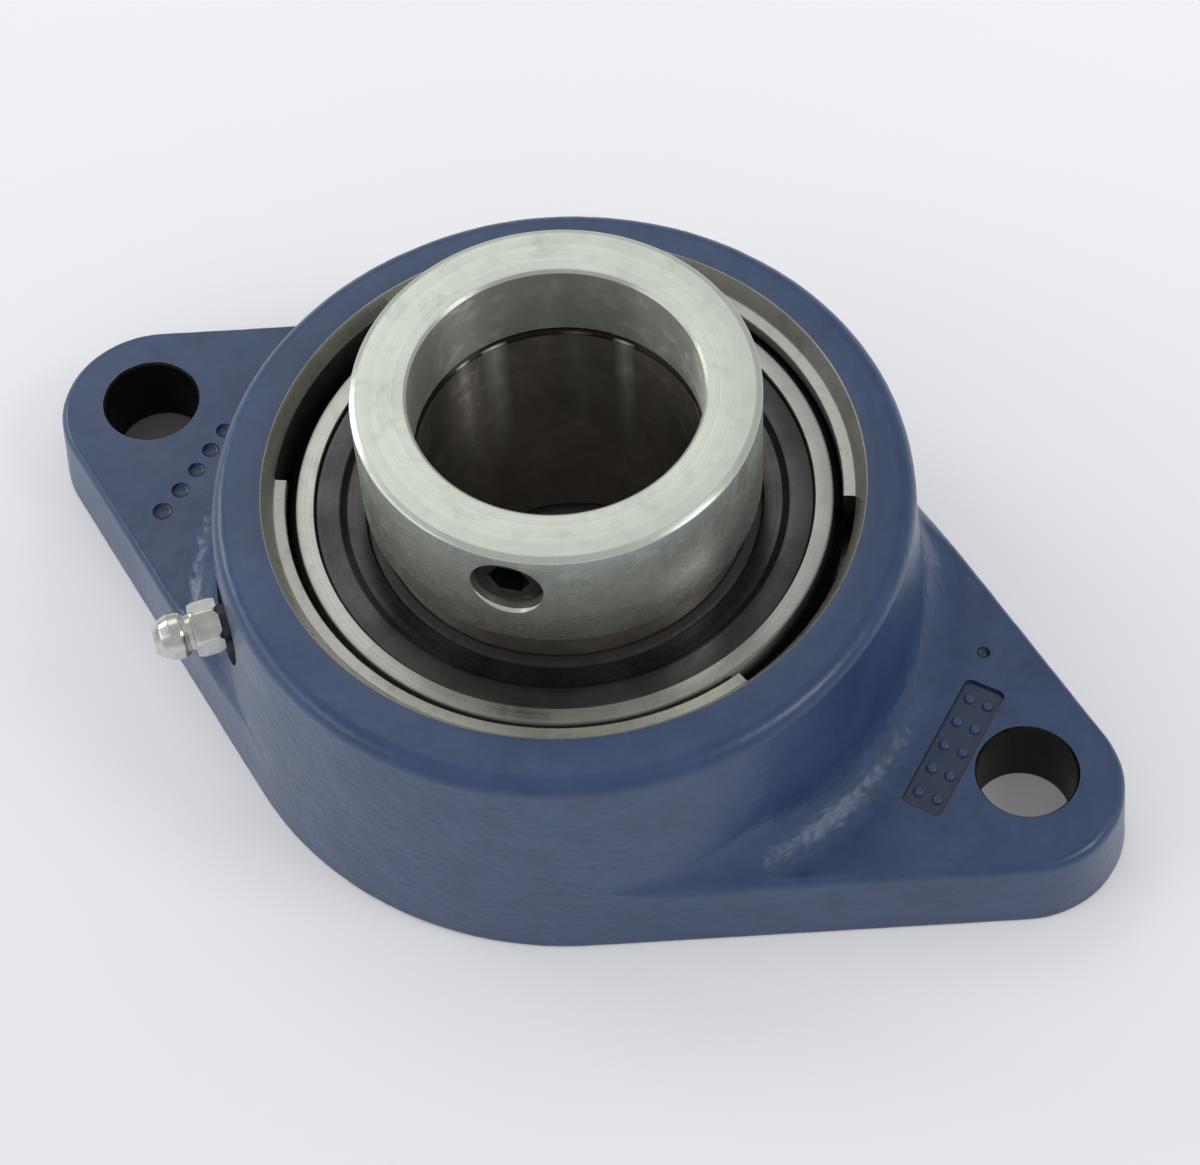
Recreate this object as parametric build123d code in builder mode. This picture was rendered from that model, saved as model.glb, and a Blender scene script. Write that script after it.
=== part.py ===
from build123d import *
import math
import os

# Two-bolt oval flange bearing unit: cast housing, spherical insert bearing with
# seals, eccentric locking collar with its set screw, and a grease nipple.
# Origin: centre of the mounting face, on the bearing axis. +Z points out of the
# housing mouth along the shaft, +X through the bolt hole away from the nipple.
# "Front" is +Z, "rear" is -Z. Azimuths are in degrees from +X. Sizes in mm.

os.makedirs("parts", exist_ok=True)

# ---------------------------------------------------------------- shared sizes
SEAT_Z = 24.0             # centre of the spherical seat, balls and insert
SHAFT_R = 20.0
PITCH_R = 30.4            # circle of the ball centres
BALL_R = 5.99
BALLS = 9
GROOVE_R = 6.2            # section radius of the ball grooves
GROOVE_GAP = 0.02         # between a ball and the bottom of each groove
ECCENTRICITY = 0.9        # of the inner ring's stub, towards +X
STUB_R = 23.4
SCREW_AZ = -76.0
SCREW_Z = 51.5
SCREW_R = 5.0             # threaded hole in the collar
NIPPLE_AZ = -135.0
NIPPLE_Z = 26.0
NIPPLE_FACE_R = 49.7      # distance of the nipple's thread shoulder from the axis
SHANK_R = 3.0             # nipple thread


def radial_plane(azimuth, z, r):
    """Plane at distance r from the axis, facing outward."""
    angle = math.radians(azimuth)
    outward = (math.cos(angle), math.sin(angle), 0)
    return Plane(origin=(r * outward[0], r * outward[1], z),
                 x_dir=(-outward[1], outward[0], 0), z_dir=outward)


def half_chord(radius, distance):
    """Half the chord of a circle at a distance from its centre."""
    return math.sqrt(radius ** 2 - distance ** 2)


NIPPLE_PLANE = radial_plane(NIPPLE_AZ, NIPPLE_Z, NIPPLE_FACE_R)

# ---------------------------------------------------------------- housing
BOLT_SPACING = 143.7
BOLT_HOLE_R = 7.0
FLANGE_T = 13.0
FLANGE_EDGE_R = 1.5
LOBE_R = 15.2             # round ends of the flange
LOBE_X = 71.3
BOSS_R = 51.95
BOSS_RIM_R = 2.3
HOUSING_H = 38.5
DRAFT = 0.0853            # casting draft, mm of radius per mm of height
DRAFT_ANGLE = math.atan(DRAFT)
DRAFT_DEG = math.degrees(DRAFT_ANGLE)
FOOT_R = 7.2              # cast fillet at the foot of the boss
FOOT_INSET = 0.9          # keeps it inside the sloping sides of the flange
# the rough casting sits slightly off the machined bore and bolt holes
CAST_X, CAST_Y, CAST_TURN = 0.5, -1.05, -0.4

SEAT_R = 40.03
SEAT_FRONT, SEAT_REAR = 9.9, 10.6   # reach of the seat either side of its centre
MOUTH_R = 42.0
LEDGE_R, LEDGE_Z = 40.5, 35.9       # flat ledge between the seat and the mouth cone
REAR_OPENING = [(38.9, 12.6), (39.6, 3.0), (42.6, 0.0)]   # (r, z) behind the seat
OVERRUN = 1.0             # how far the bore cut runs past both faces
NOTCH_R = 40.6
NOTCH_HALF_DEG = 24.5

SPOT_R = 6.2
SPOT_DEPTH = 1.1          # spot face below the nipple's thread shoulder
ENTRY_DEPTH = 6.2         # threaded entry
PASSAGE_R, PASSAGE_DEPTH = 2.5, 14

# marks cast into the flange: a sunk panel with raised pips, and round dimples
MARK_DEPTH = 0.6
PANEL_X, PANEL_Y = 61.1, -1.0
PANEL_W, PANEL_L, PANEL_CORNER_R = 6.0, 22.0, 1.0
PIP_R, PIP_H = 0.8, 0.5
PIP_SINK = 0.1            # pips start this far below the panel floor
PIPS = [(PANEL_X + dx, PANEL_Y + 4.2 * i) for dx in (-1.4, 1.4) for i in range(-2, 3)]
# (x, y, radius): a row on the -X side, then one beside the panel
DIMPLES = [(-59.6, -16.4, 1.5), (-59.2, -12.0, 1.4), (-59.0, -7.8, 1.3),
           (-59.0, -3.8, 1.3), (-59.0, 0.2, 1.3), (58.4, 15.0, 0.95)]

# points where the flange's straight sides touch the boss and the lobes
TANGENT_ANGLE = math.acos((BOSS_R - LOBE_R) / LOBE_X)
TANGENT_COS, TANGENT_SIN = math.cos(TANGENT_ANGLE), math.sin(TANGENT_ANGLE)
BOSS_TX, BOSS_TY = BOSS_R * TANGENT_COS, BOSS_R * TANGENT_SIN
LOBE_TX, LOBE_TY = LOBE_X + LOBE_R * TANGENT_COS, LOBE_R * TANGENT_SIN


def make_foot_ring():
    """Concave ring where the boss wall meets the flange, trimmed to the flange."""
    top_z = FLANGE_T + FOOT_R * (1 - math.sin(DRAFT_ANGLE))
    top_r = BOSS_R - DRAFT * top_z
    bottom_r = top_r + FOOT_R * math.cos(DRAFT_ANGLE)
    sink = 3              # overlap into the flange, and height above the fillet
    inner_r, step_r = top_r - 5, top_r - 0.6
    side_distance = BOSS_R - FOOT_INSET
    corner_x, corner_y = side_distance / TANGENT_COS, side_distance / TANGENT_SIN
    with BuildPart() as foot_ring:
        with BuildSketch(Plane.XZ):
            with BuildLine():
                Polyline((bottom_r, FLANGE_T), (bottom_r, FLANGE_T - sink),
                         (inner_r, FLANGE_T - sink), (inner_r, top_z + sink),
                         (step_r, top_z + sink), (step_r, top_z), (top_r, top_z))
                RadiusArc((top_r, top_z), (bottom_r, FLANGE_T), -FOOT_R)
            make_face()
        revolve(axis=Axis.Z)
        with BuildSketch(Plane.XY):
            Polygon((corner_x, 0), (0, corner_y), (-corner_x, 0), (0, -corner_y), align=None)
            Rectangle(300, 2 * BOSS_TY, mode=Mode.INTERSECT)
        extrude(amount=FLANGE_T + 12, taper=DRAFT_DEG, mode=Mode.INTERSECT)
    return foot_ring.part


def make_casting():
    """Solid flange and boss, before marks and machining."""
    foot_ring = make_foot_ring()
    lobe_end = LOBE_X + LOBE_R
    boss_z, boss_inset = 1.0, 0.02    # the boss starts just inside the flange
    with BuildPart() as casting:
        with BuildSketch(Plane.XY):
            with BuildLine():
                Line((LOBE_TX, LOBE_TY), (BOSS_TX, BOSS_TY))
                ThreePointArc((BOSS_TX, BOSS_TY), (0, BOSS_R), (-BOSS_TX, BOSS_TY))
                Line((-BOSS_TX, BOSS_TY), (-LOBE_TX, LOBE_TY))
                ThreePointArc((-LOBE_TX, LOBE_TY), (-lobe_end, 0), (-LOBE_TX, -LOBE_TY))
                Line((-LOBE_TX, -LOBE_TY), (-BOSS_TX, -BOSS_TY))
                ThreePointArc((-BOSS_TX, -BOSS_TY), (0, -BOSS_R), (BOSS_TX, -BOSS_TY))
                Line((BOSS_TX, -BOSS_TY), (LOBE_TX, -LOBE_TY))
                ThreePointArc((LOBE_TX, -LOBE_TY), (lobe_end, 0), (LOBE_TX, LOBE_TY))
            make_face()
        extrude(amount=FLANGE_T, taper=DRAFT_DEG)
        # round the flange's top edge before the boss covers its middle
        fillet(casting.edges().group_by(Axis.Z)[-1], radius=FLANGE_EDGE_R)
        # boss with the same draft and a rounded front rim
        with BuildSketch(Plane.XZ):
            with BuildLine():
                Polyline((0, boss_z), (BOSS_R - DRAFT * boss_z - boss_inset, boss_z),
                         (BOSS_R - DRAFT * HOUSING_H, HOUSING_H), (0, HOUSING_H), (0, boss_z))
            make_face()
        revolve(axis=Axis.Z)
        rim = casting.edges().filter_by(GeomType.CIRCLE).group_by(Axis.Z)[-1]
        fillet(rim, radius=BOSS_RIM_R)
        add(foot_ring)
    return casting.part


def make_housing():
    casting = make_casting()
    mark_z = FLANGE_T - MARK_DEPTH
    seat_front_z = SEAT_Z + SEAT_FRONT
    seat_rear_z = SEAT_Z - SEAT_REAR
    seat_front_r = half_chord(SEAT_R, SEAT_FRONT)
    seat_rear_r = half_chord(SEAT_R, SEAT_REAR)
    rear_r = REAR_OPENING[-1][0]
    notch_x = 60          # the notch sectors reach past the casting's bore
    notch_y = notch_x * math.tan(math.radians(NOTCH_HALF_DEG))
    with BuildPart() as housing:
        add(casting.moved(Location((CAST_X, CAST_Y, 0), (0, 0, CAST_TURN))))
        # cast marks
        with BuildSketch(Plane.XY.offset(mark_z)):
            with Locations((PANEL_X, PANEL_Y)):
                RectangleRounded(PANEL_W, PANEL_L, PANEL_CORNER_R)
            for x, y, radius in DIMPLES:
                with Locations((x, y)):
                    Circle(radius)
        extrude(amount=2, mode=Mode.SUBTRACT)
        with BuildSketch(Plane.XY.offset(mark_z - PIP_SINK)):
            for x, y in PIPS:
                with Locations((x, y)):
                    Circle(PIP_R)
        extrude(amount=PIP_H)
        # bolt holes
        with Locations((BOLT_SPACING / 2, 0, 0), (-BOLT_SPACING / 2, 0, 0)):
            Cylinder(BOLT_HOLE_R, 60, mode=Mode.SUBTRACT)
        # mouth, spherical seat and rear opening
        with BuildSketch(Plane.XZ):
            with BuildLine():
                Polyline((seat_rear_r, seat_rear_z), *REAR_OPENING, (rear_r, -OVERRUN),
                         (0, -OVERRUN), (0, HOUSING_H + OVERRUN),
                         (MOUTH_R, HOUSING_H + OVERRUN), (MOUTH_R, HOUSING_H),
                         (LEDGE_R, LEDGE_Z), (seat_front_r, LEDGE_Z),
                         (seat_front_r, seat_front_z))
                ThreePointArc((seat_front_r, seat_front_z), (SEAT_R, SEAT_Z),
                              (seat_rear_r, seat_rear_z))
            make_face()
        revolve(axis=Axis.Z, mode=Mode.SUBTRACT)
        # the two loading notches the insert is swung in through
        with BuildSketch(Plane.XY.offset(SEAT_Z)):
            Polygon((0, 0), (notch_x, -notch_y), (notch_x, notch_y), align=None)
            Polygon((0, 0), (-notch_x, notch_y), (-notch_x, -notch_y), align=None)
            Circle(NOTCH_R, mode=Mode.INTERSECT)
        extrude(amount=HOUSING_H, mode=Mode.SUBTRACT)
        # spot face, threaded entry and grease passage
        with BuildSketch(NIPPLE_PLANE.offset(-SPOT_DEPTH)):
            Circle(SPOT_R)
        extrude(amount=8, mode=Mode.SUBTRACT)
        for radius, depth in [(SHANK_R, ENTRY_DEPTH), (PASSAGE_R, PASSAGE_DEPTH)]:
            with BuildSketch(NIPPLE_PLANE):
                Circle(radius)
            extrude(amount=-depth, mode=Mode.SUBTRACT)
    return housing.part


# ---------------------------------------------------------------- outer ring
SPHERE_R = 40.0
OUTER_W = 21.0
OUTER_FACE_R = 37.45
OUTER_EDGE_H = 1.0        # height of the bevel between sphere and end face
OUTER_SHOULDER_R = 34.4
SEAL_SEAT_R = 34.9
SEAL_SEAT_DEPTH = 2.8
SEAL_SEAT_BEVEL = 0.15
LUBE_GROOVE_R, LUBE_GROOVE_Z = 39.6, 29.6    # centre of the groove's section
LUBE_GROOVE_DEPTH, LUBE_GROOVE_W = 2.6, 3.6
LUBE_HOLE_R, LUBE_HOLE_Z, LUBE_HOLE_AZ = 1.0, 30.2, 45


def make_outer_ring():
    rear_z = SEAT_Z - OUTER_W / 2
    front_z = SEAT_Z + OUTER_W / 2
    bevel_r = half_chord(SPHERE_R, OUTER_W / 2 - OUTER_EDGE_H)
    bottom_r = PITCH_R + BALL_R + GROOVE_GAP
    groove_half = half_chord(GROOVE_R, OUTER_SHOULDER_R - (bottom_r - GROOVE_R))
    lead_r = SEAL_SEAT_R + SEAL_SEAT_BEVEL
    with BuildPart() as outer_ring:
        with BuildSketch(Plane.XZ):
            with BuildLine():
                Polyline((bevel_r, rear_z + OUTER_EDGE_H), (OUTER_FACE_R, rear_z),
                         (lead_r, rear_z), (SEAL_SEAT_R, rear_z + SEAL_SEAT_BEVEL),
                         (SEAL_SEAT_R, rear_z + SEAL_SEAT_DEPTH),
                         (OUTER_SHOULDER_R, rear_z + SEAL_SEAT_DEPTH),
                         (OUTER_SHOULDER_R, SEAT_Z - groove_half))
                ThreePointArc((OUTER_SHOULDER_R, SEAT_Z - groove_half), (bottom_r, SEAT_Z),
                              (OUTER_SHOULDER_R, SEAT_Z + groove_half))
                Polyline((OUTER_SHOULDER_R, SEAT_Z + groove_half),
                         (OUTER_SHOULDER_R, front_z - SEAL_SEAT_DEPTH),
                         (SEAL_SEAT_R, front_z - SEAL_SEAT_DEPTH),
                         (SEAL_SEAT_R, front_z - SEAL_SEAT_BEVEL), (lead_r, front_z),
                         (OUTER_FACE_R, front_z), (bevel_r, front_z - OUTER_EDGE_H))
                ThreePointArc((bevel_r, front_z - OUTER_EDGE_H), (SPHERE_R, SEAT_Z),
                              (bevel_r, rear_z + OUTER_EDGE_H))
            make_face()
        revolve(axis=Axis.Z)
        # relubrication groove round the outside and its two radial holes
        with BuildSketch(Plane.XZ):
            with Locations((LUBE_GROOVE_R, LUBE_GROOVE_Z)):
                Rectangle(LUBE_GROOVE_DEPTH, LUBE_GROOVE_W)
        revolve(axis=Axis.Z, mode=Mode.SUBTRACT)
        with PolarLocations(0, 2, start_angle=LUBE_HOLE_AZ):
            with Locations(Location((36, 0, LUBE_HOLE_Z), (0, 90, 0))):
                Cylinder(LUBE_HOLE_R, 12, mode=Mode.SUBTRACT)
    return outer_ring.part


# ---------------------------------------------------------------- inner ring
INNER_R = 25.9
INNER_Z0, INNER_Z1 = 2.6, 45.5
STUB_Z = 39.2             # where the eccentric stub begins
BORE_BEVEL, REAR_BEVEL, STUB_STEP_BEVEL, TOP_BEVEL = 0.6, 0.8, 0.2, 0.5


def make_inner_ring():
    bottom_r = PITCH_R - BALL_R - GROOVE_GAP
    groove_half = half_chord(GROOVE_R, bottom_r + GROOVE_R - INNER_R)
    with BuildPart() as inner_ring:
        with BuildSketch(Plane.XZ):
            with BuildLine():
                Polyline((SHAFT_R, INNER_Z0 + BORE_BEVEL), (SHAFT_R + BORE_BEVEL, INNER_Z0),
                         (INNER_R - REAR_BEVEL, INNER_Z0), (INNER_R, INNER_Z0 + REAR_BEVEL),
                         (INNER_R, SEAT_Z - groove_half))
                ThreePointArc((INNER_R, SEAT_Z - groove_half), (bottom_r, SEAT_Z),
                              (INNER_R, SEAT_Z + groove_half))
                Polyline((INNER_R, SEAT_Z + groove_half), (INNER_R, STUB_Z - STUB_STEP_BEVEL),
                         (INNER_R - STUB_STEP_BEVEL, STUB_Z), (SHAFT_R, STUB_Z),
                         (SHAFT_R, INNER_Z0 + BORE_BEVEL))
            make_face()
        revolve(axis=Axis.Z)
        # eccentric stub that the collar wedges on
        with BuildSketch(Plane.XY.offset(STUB_Z)):
            with Locations((ECCENTRICITY, 0)):
                Circle(STUB_R)
            Circle(SHAFT_R, mode=Mode.SUBTRACT)
        extrude(amount=INNER_Z1 - STUB_Z)
        top_edges = inner_ring.edges().filter_by(GeomType.CIRCLE).group_by(Axis.Z)[-1]
        chamfer(top_edges, length=TOP_BEVEL)
    return inner_ring.part


# ---------------------------------------------------------------- balls
def make_ball(index):
    angle = math.radians(index * 360.0 / BALLS)
    with BuildPart() as ball:
        with Locations((PITCH_R * math.cos(angle), PITCH_R * math.sin(angle), SEAT_Z)):
            Sphere(BALL_R)
    return ball.part


# ---------------------------------------------------------------- cage
CAGE_IN, CAGE_OUT, CAGE_T = 28.7, 32.1, 0.9
POCKET_R = BALL_R + 0.1
RIVET_R = 0.75
RIVET_HEAD_R, RIVET_HEAD_T, RIVET_HEAD_EDGE_R = 1.3, 0.5, 0.35
HALF_STEP = 180.0 / BALLS     # rivets lie midway between the balls


def make_cage_half(side):
    """Flat ring with domed ball pockets; side is 1 for front, -1 for rear."""
    with BuildPart() as cage_half:
        with BuildSketch(Plane.XY.offset(SEAT_Z)):
            Circle(CAGE_OUT)
            Circle(CAGE_IN, mode=Mode.SUBTRACT)
        extrude(amount=side * CAGE_T)
        with Locations((0, 0, SEAT_Z)):
            with PolarLocations(PITCH_R, BALLS):
                Sphere(POCKET_R + CAGE_T)
        # trim the domes to the ring's width and to this side
        with BuildSketch(Plane.XY.offset(SEAT_Z)):
            Circle(CAGE_OUT)
            Circle(CAGE_IN, mode=Mode.SUBTRACT)
        extrude(amount=side * 9, mode=Mode.INTERSECT)
        with Locations((0, 0, SEAT_Z)):
            with PolarLocations(PITCH_R, BALLS):
                Sphere(POCKET_R, mode=Mode.SUBTRACT)
            with PolarLocations(PITCH_R, BALLS, start_angle=HALF_STEP):
                Cylinder(RIVET_R, 6, mode=Mode.SUBTRACT)
    return cage_half.part


def make_cage_rivets():
    head_z = CAGE_T + RIVET_HEAD_T / 2
    with BuildPart() as rivets:
        with Locations((0, 0, SEAT_Z)):
            with PolarLocations(PITCH_R, BALLS, start_angle=HALF_STEP):
                Cylinder(RIVET_R, 2 * CAGE_T)
        with Locations((0, 0, SEAT_Z + head_z), (0, 0, SEAT_Z - head_z)):
            with PolarLocations(PITCH_R, BALLS, start_angle=HALF_STEP):
                Cylinder(RIVET_HEAD_R, RIVET_HEAD_T)
        end_edges = [e for e in rivets.edges().filter_by(GeomType.CIRCLE)
                     if abs(abs(e.center().Z - SEAT_Z) - CAGE_T - RIVET_HEAD_T) < 0.01]
        fillet(end_edges, radius=RIVET_HEAD_EDGE_R)
    return rivets.part


# ---------------------------------------------------------------- seals
# (r, z) sections of the front seal; the rear one is its mirror about SEAT_Z
SHIELD_FACE_Z = 33.95
SHIELD_EDGE_R = 0.35
SHIELD = [(34.9, 32.5), (34.9, SHIELD_FACE_Z), (31.4, SHIELD_FACE_Z), (30.45, 33.3),
          (27.8, 33.3), (27.8, 32.85), (30.3, 32.85), (31.25, 33.5), (34.4, 33.5),
          (34.4, 32.5)]
WASHER = [(28.0, 31.7), (34.9, 31.7), (34.9, 32.5), (34.4, 32.5), (34.4, 32.15),
          (28.0, 32.15)]
LIP = [(34.4, 32.15), (34.4, 33.5), (31.25, 33.5), (30.3, 32.85), (27.75, 32.85),
       (27.2, 33.25), (26.3, 33.6), (25.95, 33.6), (25.95, 33.35), (26.7, 32.7),
       (27.4, 32.15)]


def mirrored(outline):
    return [(r, 2 * SEAT_Z - z) for r, z in outline]


def make_seal_ring(outline):
    with BuildPart() as ring:
        with BuildSketch(Plane.XZ):
            Polygon(*outline, align=None)
        revolve(axis=Axis.Z)
    return ring.part


def make_seal_shield(outline, face_z):
    """Seal ring with the edges of its outward face, at face_z, rounded."""
    with BuildPart() as shield:
        with BuildSketch(Plane.XZ):
            Polygon(*outline, align=None)
        revolve(axis=Axis.Z)
        face_edges = [e for e in shield.edges().filter_by(GeomType.CIRCLE)
                      if abs(e.center().Z - face_z) < 0.01]
        fillet(face_edges, radius=SHIELD_EDGE_R)
    return shield.part


# ---------------------------------------------------------------- locking collar
COLLAR_R = 27.7
COLLAR_Z0, COLLAR_Z1 = 39.5, 58.9
COLLAR_BORE_BEVEL, COLLAR_REAR_BEVEL = 0.4, 0.6
COLLAR_FRONT_BEVEL_R, COLLAR_FRONT_BEVEL_Z = 0.85, 0.4
RECESS_Z = 46.0           # floor of the eccentric recess
STUB_GAP = 0.35
COUNTERSINK_DEPTH = 0.75
DRIFT_HOLE_R, DRIFT_HOLE_Z = 3.0, 48.8


def make_locking_collar():
    with BuildPart() as collar:
        with BuildSketch(Plane.XZ):
            with BuildLine():
                Polyline((SHAFT_R, COLLAR_Z1 - COLLAR_BORE_BEVEL),
                         (SHAFT_R + COLLAR_BORE_BEVEL, COLLAR_Z1),
                         (COLLAR_R - COLLAR_FRONT_BEVEL_R, COLLAR_Z1),
                         (COLLAR_R, COLLAR_Z1 - COLLAR_FRONT_BEVEL_Z),
                         (COLLAR_R, COLLAR_Z0 + COLLAR_REAR_BEVEL),
                         (COLLAR_R - COLLAR_REAR_BEVEL, COLLAR_Z0), (SHAFT_R, COLLAR_Z0),
                         (SHAFT_R, COLLAR_Z1 - COLLAR_BORE_BEVEL))
            make_face()
        revolve(axis=Axis.Z)
        with BuildSketch(Plane.XY.offset(COLLAR_Z0)):
            with Locations((ECCENTRICITY, 0)):
                Circle(STUB_R + STUB_GAP)
        extrude(amount=RECESS_Z - COLLAR_Z0, mode=Mode.SUBTRACT)
        # threaded hole with its countersink
        with BuildSketch(radial_plane(SCREW_AZ, SCREW_Z, 0)):
            Circle(SCREW_R)
        extrude(amount=COLLAR_R + 2, mode=Mode.SUBTRACT)
        with BuildSketch(radial_plane(SCREW_AZ, SCREW_Z, COLLAR_R - COUNTERSINK_DEPTH)):
            Circle(SCREW_R)
        extrude(amount=2.0, taper=-45, mode=Mode.SUBTRACT)
        # blind drift hole, opposite the screw, for turning the collar tight
        with BuildSketch(radial_plane(SCREW_AZ + 180, DRIFT_HOLE_Z, COLLAR_R + 1)):
            Circle(DRIFT_HOLE_R)
        extrude(amount=-4.6, mode=Mode.SUBTRACT)
    return collar.part


# ---------------------------------------------------------------- set screw
SCREW_TIP_R = 20.3        # distance of the cup point from the shaft axis
SCREW_L = 6.0
SCREW_CLEARANCE = 0.04
SCREW_BEVEL = 0.6
SOCKET_AF, SOCKET_DEPTH = 5.0, 3.2
CUP_R, CUP_DEPTH, CUP_TAPER = 2.6, 1.0, 35


def make_set_screw():
    tip_plane = radial_plane(SCREW_AZ, SCREW_Z, SCREW_TIP_R)
    with BuildPart() as screw:
        with BuildSketch(tip_plane):
            Circle(SCREW_R - SCREW_CLEARANCE)
        extrude(amount=SCREW_L)
        chamfer(screw.edges().filter_by(GeomType.CIRCLE), length=SCREW_BEVEL)
        with BuildSketch(radial_plane(SCREW_AZ, SCREW_Z, SCREW_TIP_R + SCREW_L)):
            RegularPolygon(SOCKET_AF / 2, 6, major_radius=False)
        extrude(amount=-SOCKET_DEPTH, mode=Mode.SUBTRACT)
        with BuildSketch(tip_plane):
            Circle(CUP_R)
        extrude(amount=CUP_DEPTH, taper=CUP_TAPER, mode=Mode.SUBTRACT)
    return screw.part


# ---------------------------------------------------------------- grease nipple
# heights are measured outward from the thread shoulder
SHANK_L, SHANK_BEVEL = 5.8, 0.5
NECK_R = 2.6
HEX_AF, HEX_CORNER_R = 7.0, 3.9
HEX_BASE, HEX_H = 0.9, 4.0
# (height, radius) up the groove and head, starting on top of the hexagon
HEAD = [(HEX_BASE + HEX_H, NECK_R), (5.6, NECK_R), (6.3, 3.35), (8.0, 3.35),
        (9.5, 2.7), (10.4, 1.75)]
CHAMBER_BASE = 2.6
# (start height, radius, length): valve chamber, its mouth, channel down the shank
NIPPLE_BORES = [(CHAMBER_BASE, 1.35, 6.8), (9.0, 0.85, 3), (-7.0, 0.8, 10)]
CHECK_BALL_R, CHECK_BALL_HEIGHT = 1.15, 8.62
SPRING_WIRE_R, SPRING_R, SPRING_PITCH, SPRING_L = 0.14, 1.0, 1.0, 5.0
SPRING_GAP = 0.02         # between the wire and the chamber floor


def make_grease_nipple():
    with BuildPart() as nipple:
        with BuildSketch(NIPPLE_PLANE):
            Circle(SHANK_R)
        extrude(amount=-SHANK_L)
        # X + Y is greatest at the shank's inner end
        inner_edge = nipple.edges().filter_by(GeomType.CIRCLE).sort_by(
            lambda e: e.center().X + e.center().Y)[-1]
        chamfer(inner_edge, length=SHANK_BEVEL)
        # neck, then hexagon with turned-down corners
        with BuildSketch(NIPPLE_PLANE):
            Circle(NECK_R)
        extrude(amount=HEX_BASE)
        with BuildSketch(NIPPLE_PLANE.offset(HEX_BASE)):
            RegularPolygon(HEX_AF / 2, 6, major_radius=False)
            Circle(HEX_CORNER_R, mode=Mode.INTERSECT)
        extrude(amount=HEX_H)
        # groove and head: straight where the radius holds, else a cone
        for (low, low_r), (high, high_r) in zip(HEAD, HEAD[1:]):
            with BuildSketch(NIPPLE_PLANE.offset(low)):
                Circle(low_r)
            if low_r == high_r:
                extrude(amount=high - low)
            else:
                with BuildSketch(NIPPLE_PLANE.offset(high)):
                    Circle(high_r)
                loft()
        for start, radius, length in NIPPLE_BORES:
            with BuildSketch(NIPPLE_PLANE.offset(start)):
                Circle(radius)
            extrude(amount=length, mode=Mode.SUBTRACT)
    return nipple.part


def make_check_ball():
    """Ball held against the mouth of the chamber by the spring."""
    with BuildPart() as ball:
        with Locations(NIPPLE_PLANE.offset(CHECK_BALL_HEIGHT).location):
            Sphere(CHECK_BALL_R)
    return ball.part


def make_spring():
    base = NIPPLE_PLANE.offset(CHAMBER_BASE + SPRING_WIRE_R + SPRING_GAP)
    with BuildPart() as spring:
        with BuildLine():
            coil = Helix(pitch=SPRING_PITCH, height=SPRING_L, radius=SPRING_R,
                         center=base.origin, direction=base.z_dir)
        with BuildSketch(Plane(origin=coil @ 0, z_dir=coil % 0)):
            Circle(SPRING_WIRE_R)
        sweep(path=coil, is_frenet=True)
    return spring.part


# ---------------------------------------------------------------- export
pieces = {
    "housing": make_housing(),
    "outer_ring": make_outer_ring(),
    "inner_ring": make_inner_ring(),
    **{f"ball_{i + 1}": make_ball(i) for i in range(BALLS)},
    "cage_front_half": make_cage_half(1),
    "cage_rear_half": make_cage_half(-1),
    "cage_rivets": make_cage_rivets(),
    "front_seal_shield": make_seal_shield(SHIELD, SHIELD_FACE_Z),
    "front_seal_lip": make_seal_ring(LIP),
    "front_seal_washer": make_seal_ring(WASHER),
    "rear_seal_shield": make_seal_shield(mirrored(SHIELD), 2 * SEAT_Z - SHIELD_FACE_Z),
    "rear_seal_lip": make_seal_ring(mirrored(LIP)),
    "rear_seal_washer": make_seal_ring(mirrored(WASHER)),
    "locking_collar": make_locking_collar(),
    "collar_set_screw": make_set_screw(),
    "grease_nipple": make_grease_nipple(),
    "nipple_check_ball": make_check_ball(),
    "nipple_spring": make_spring(),
}
for name, part in pieces.items():
    part.label = name
    export_step(part, f"parts/{name}.step")
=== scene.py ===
# Two-bolt flange bearing unit: an oval cast housing, an insert ball bearing with a spherical
# seat, an eccentric locking collar with its set screw, and a grease nipple.
# The shaft axis is Z, the flange back lies on z = 0, the bolt holes lie along X and the collar
# is on the +Z side, called the front. Sizes are in mm and become metres as meshes are made;
# lengths inside materials, lights and the floor are in metres.
import bpy, bmesh, math
import numpy as np
from mathutils import Vector, Matrix, noise


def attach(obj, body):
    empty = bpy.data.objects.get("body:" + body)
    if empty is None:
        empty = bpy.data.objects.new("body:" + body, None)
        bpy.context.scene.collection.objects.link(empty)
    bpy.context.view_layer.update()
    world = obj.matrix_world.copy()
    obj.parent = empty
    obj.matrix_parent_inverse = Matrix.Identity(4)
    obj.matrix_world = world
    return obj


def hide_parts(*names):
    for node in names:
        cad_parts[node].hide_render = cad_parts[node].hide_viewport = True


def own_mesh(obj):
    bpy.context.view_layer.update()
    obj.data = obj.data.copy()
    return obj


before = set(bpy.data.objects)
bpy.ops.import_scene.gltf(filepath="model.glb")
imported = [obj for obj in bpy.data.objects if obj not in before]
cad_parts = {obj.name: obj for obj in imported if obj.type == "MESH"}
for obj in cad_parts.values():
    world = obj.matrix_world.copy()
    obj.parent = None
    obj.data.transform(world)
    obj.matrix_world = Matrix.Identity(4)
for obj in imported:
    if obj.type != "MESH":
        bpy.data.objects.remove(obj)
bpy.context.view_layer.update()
scene = bpy.context.scene
MM = 0.001

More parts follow.
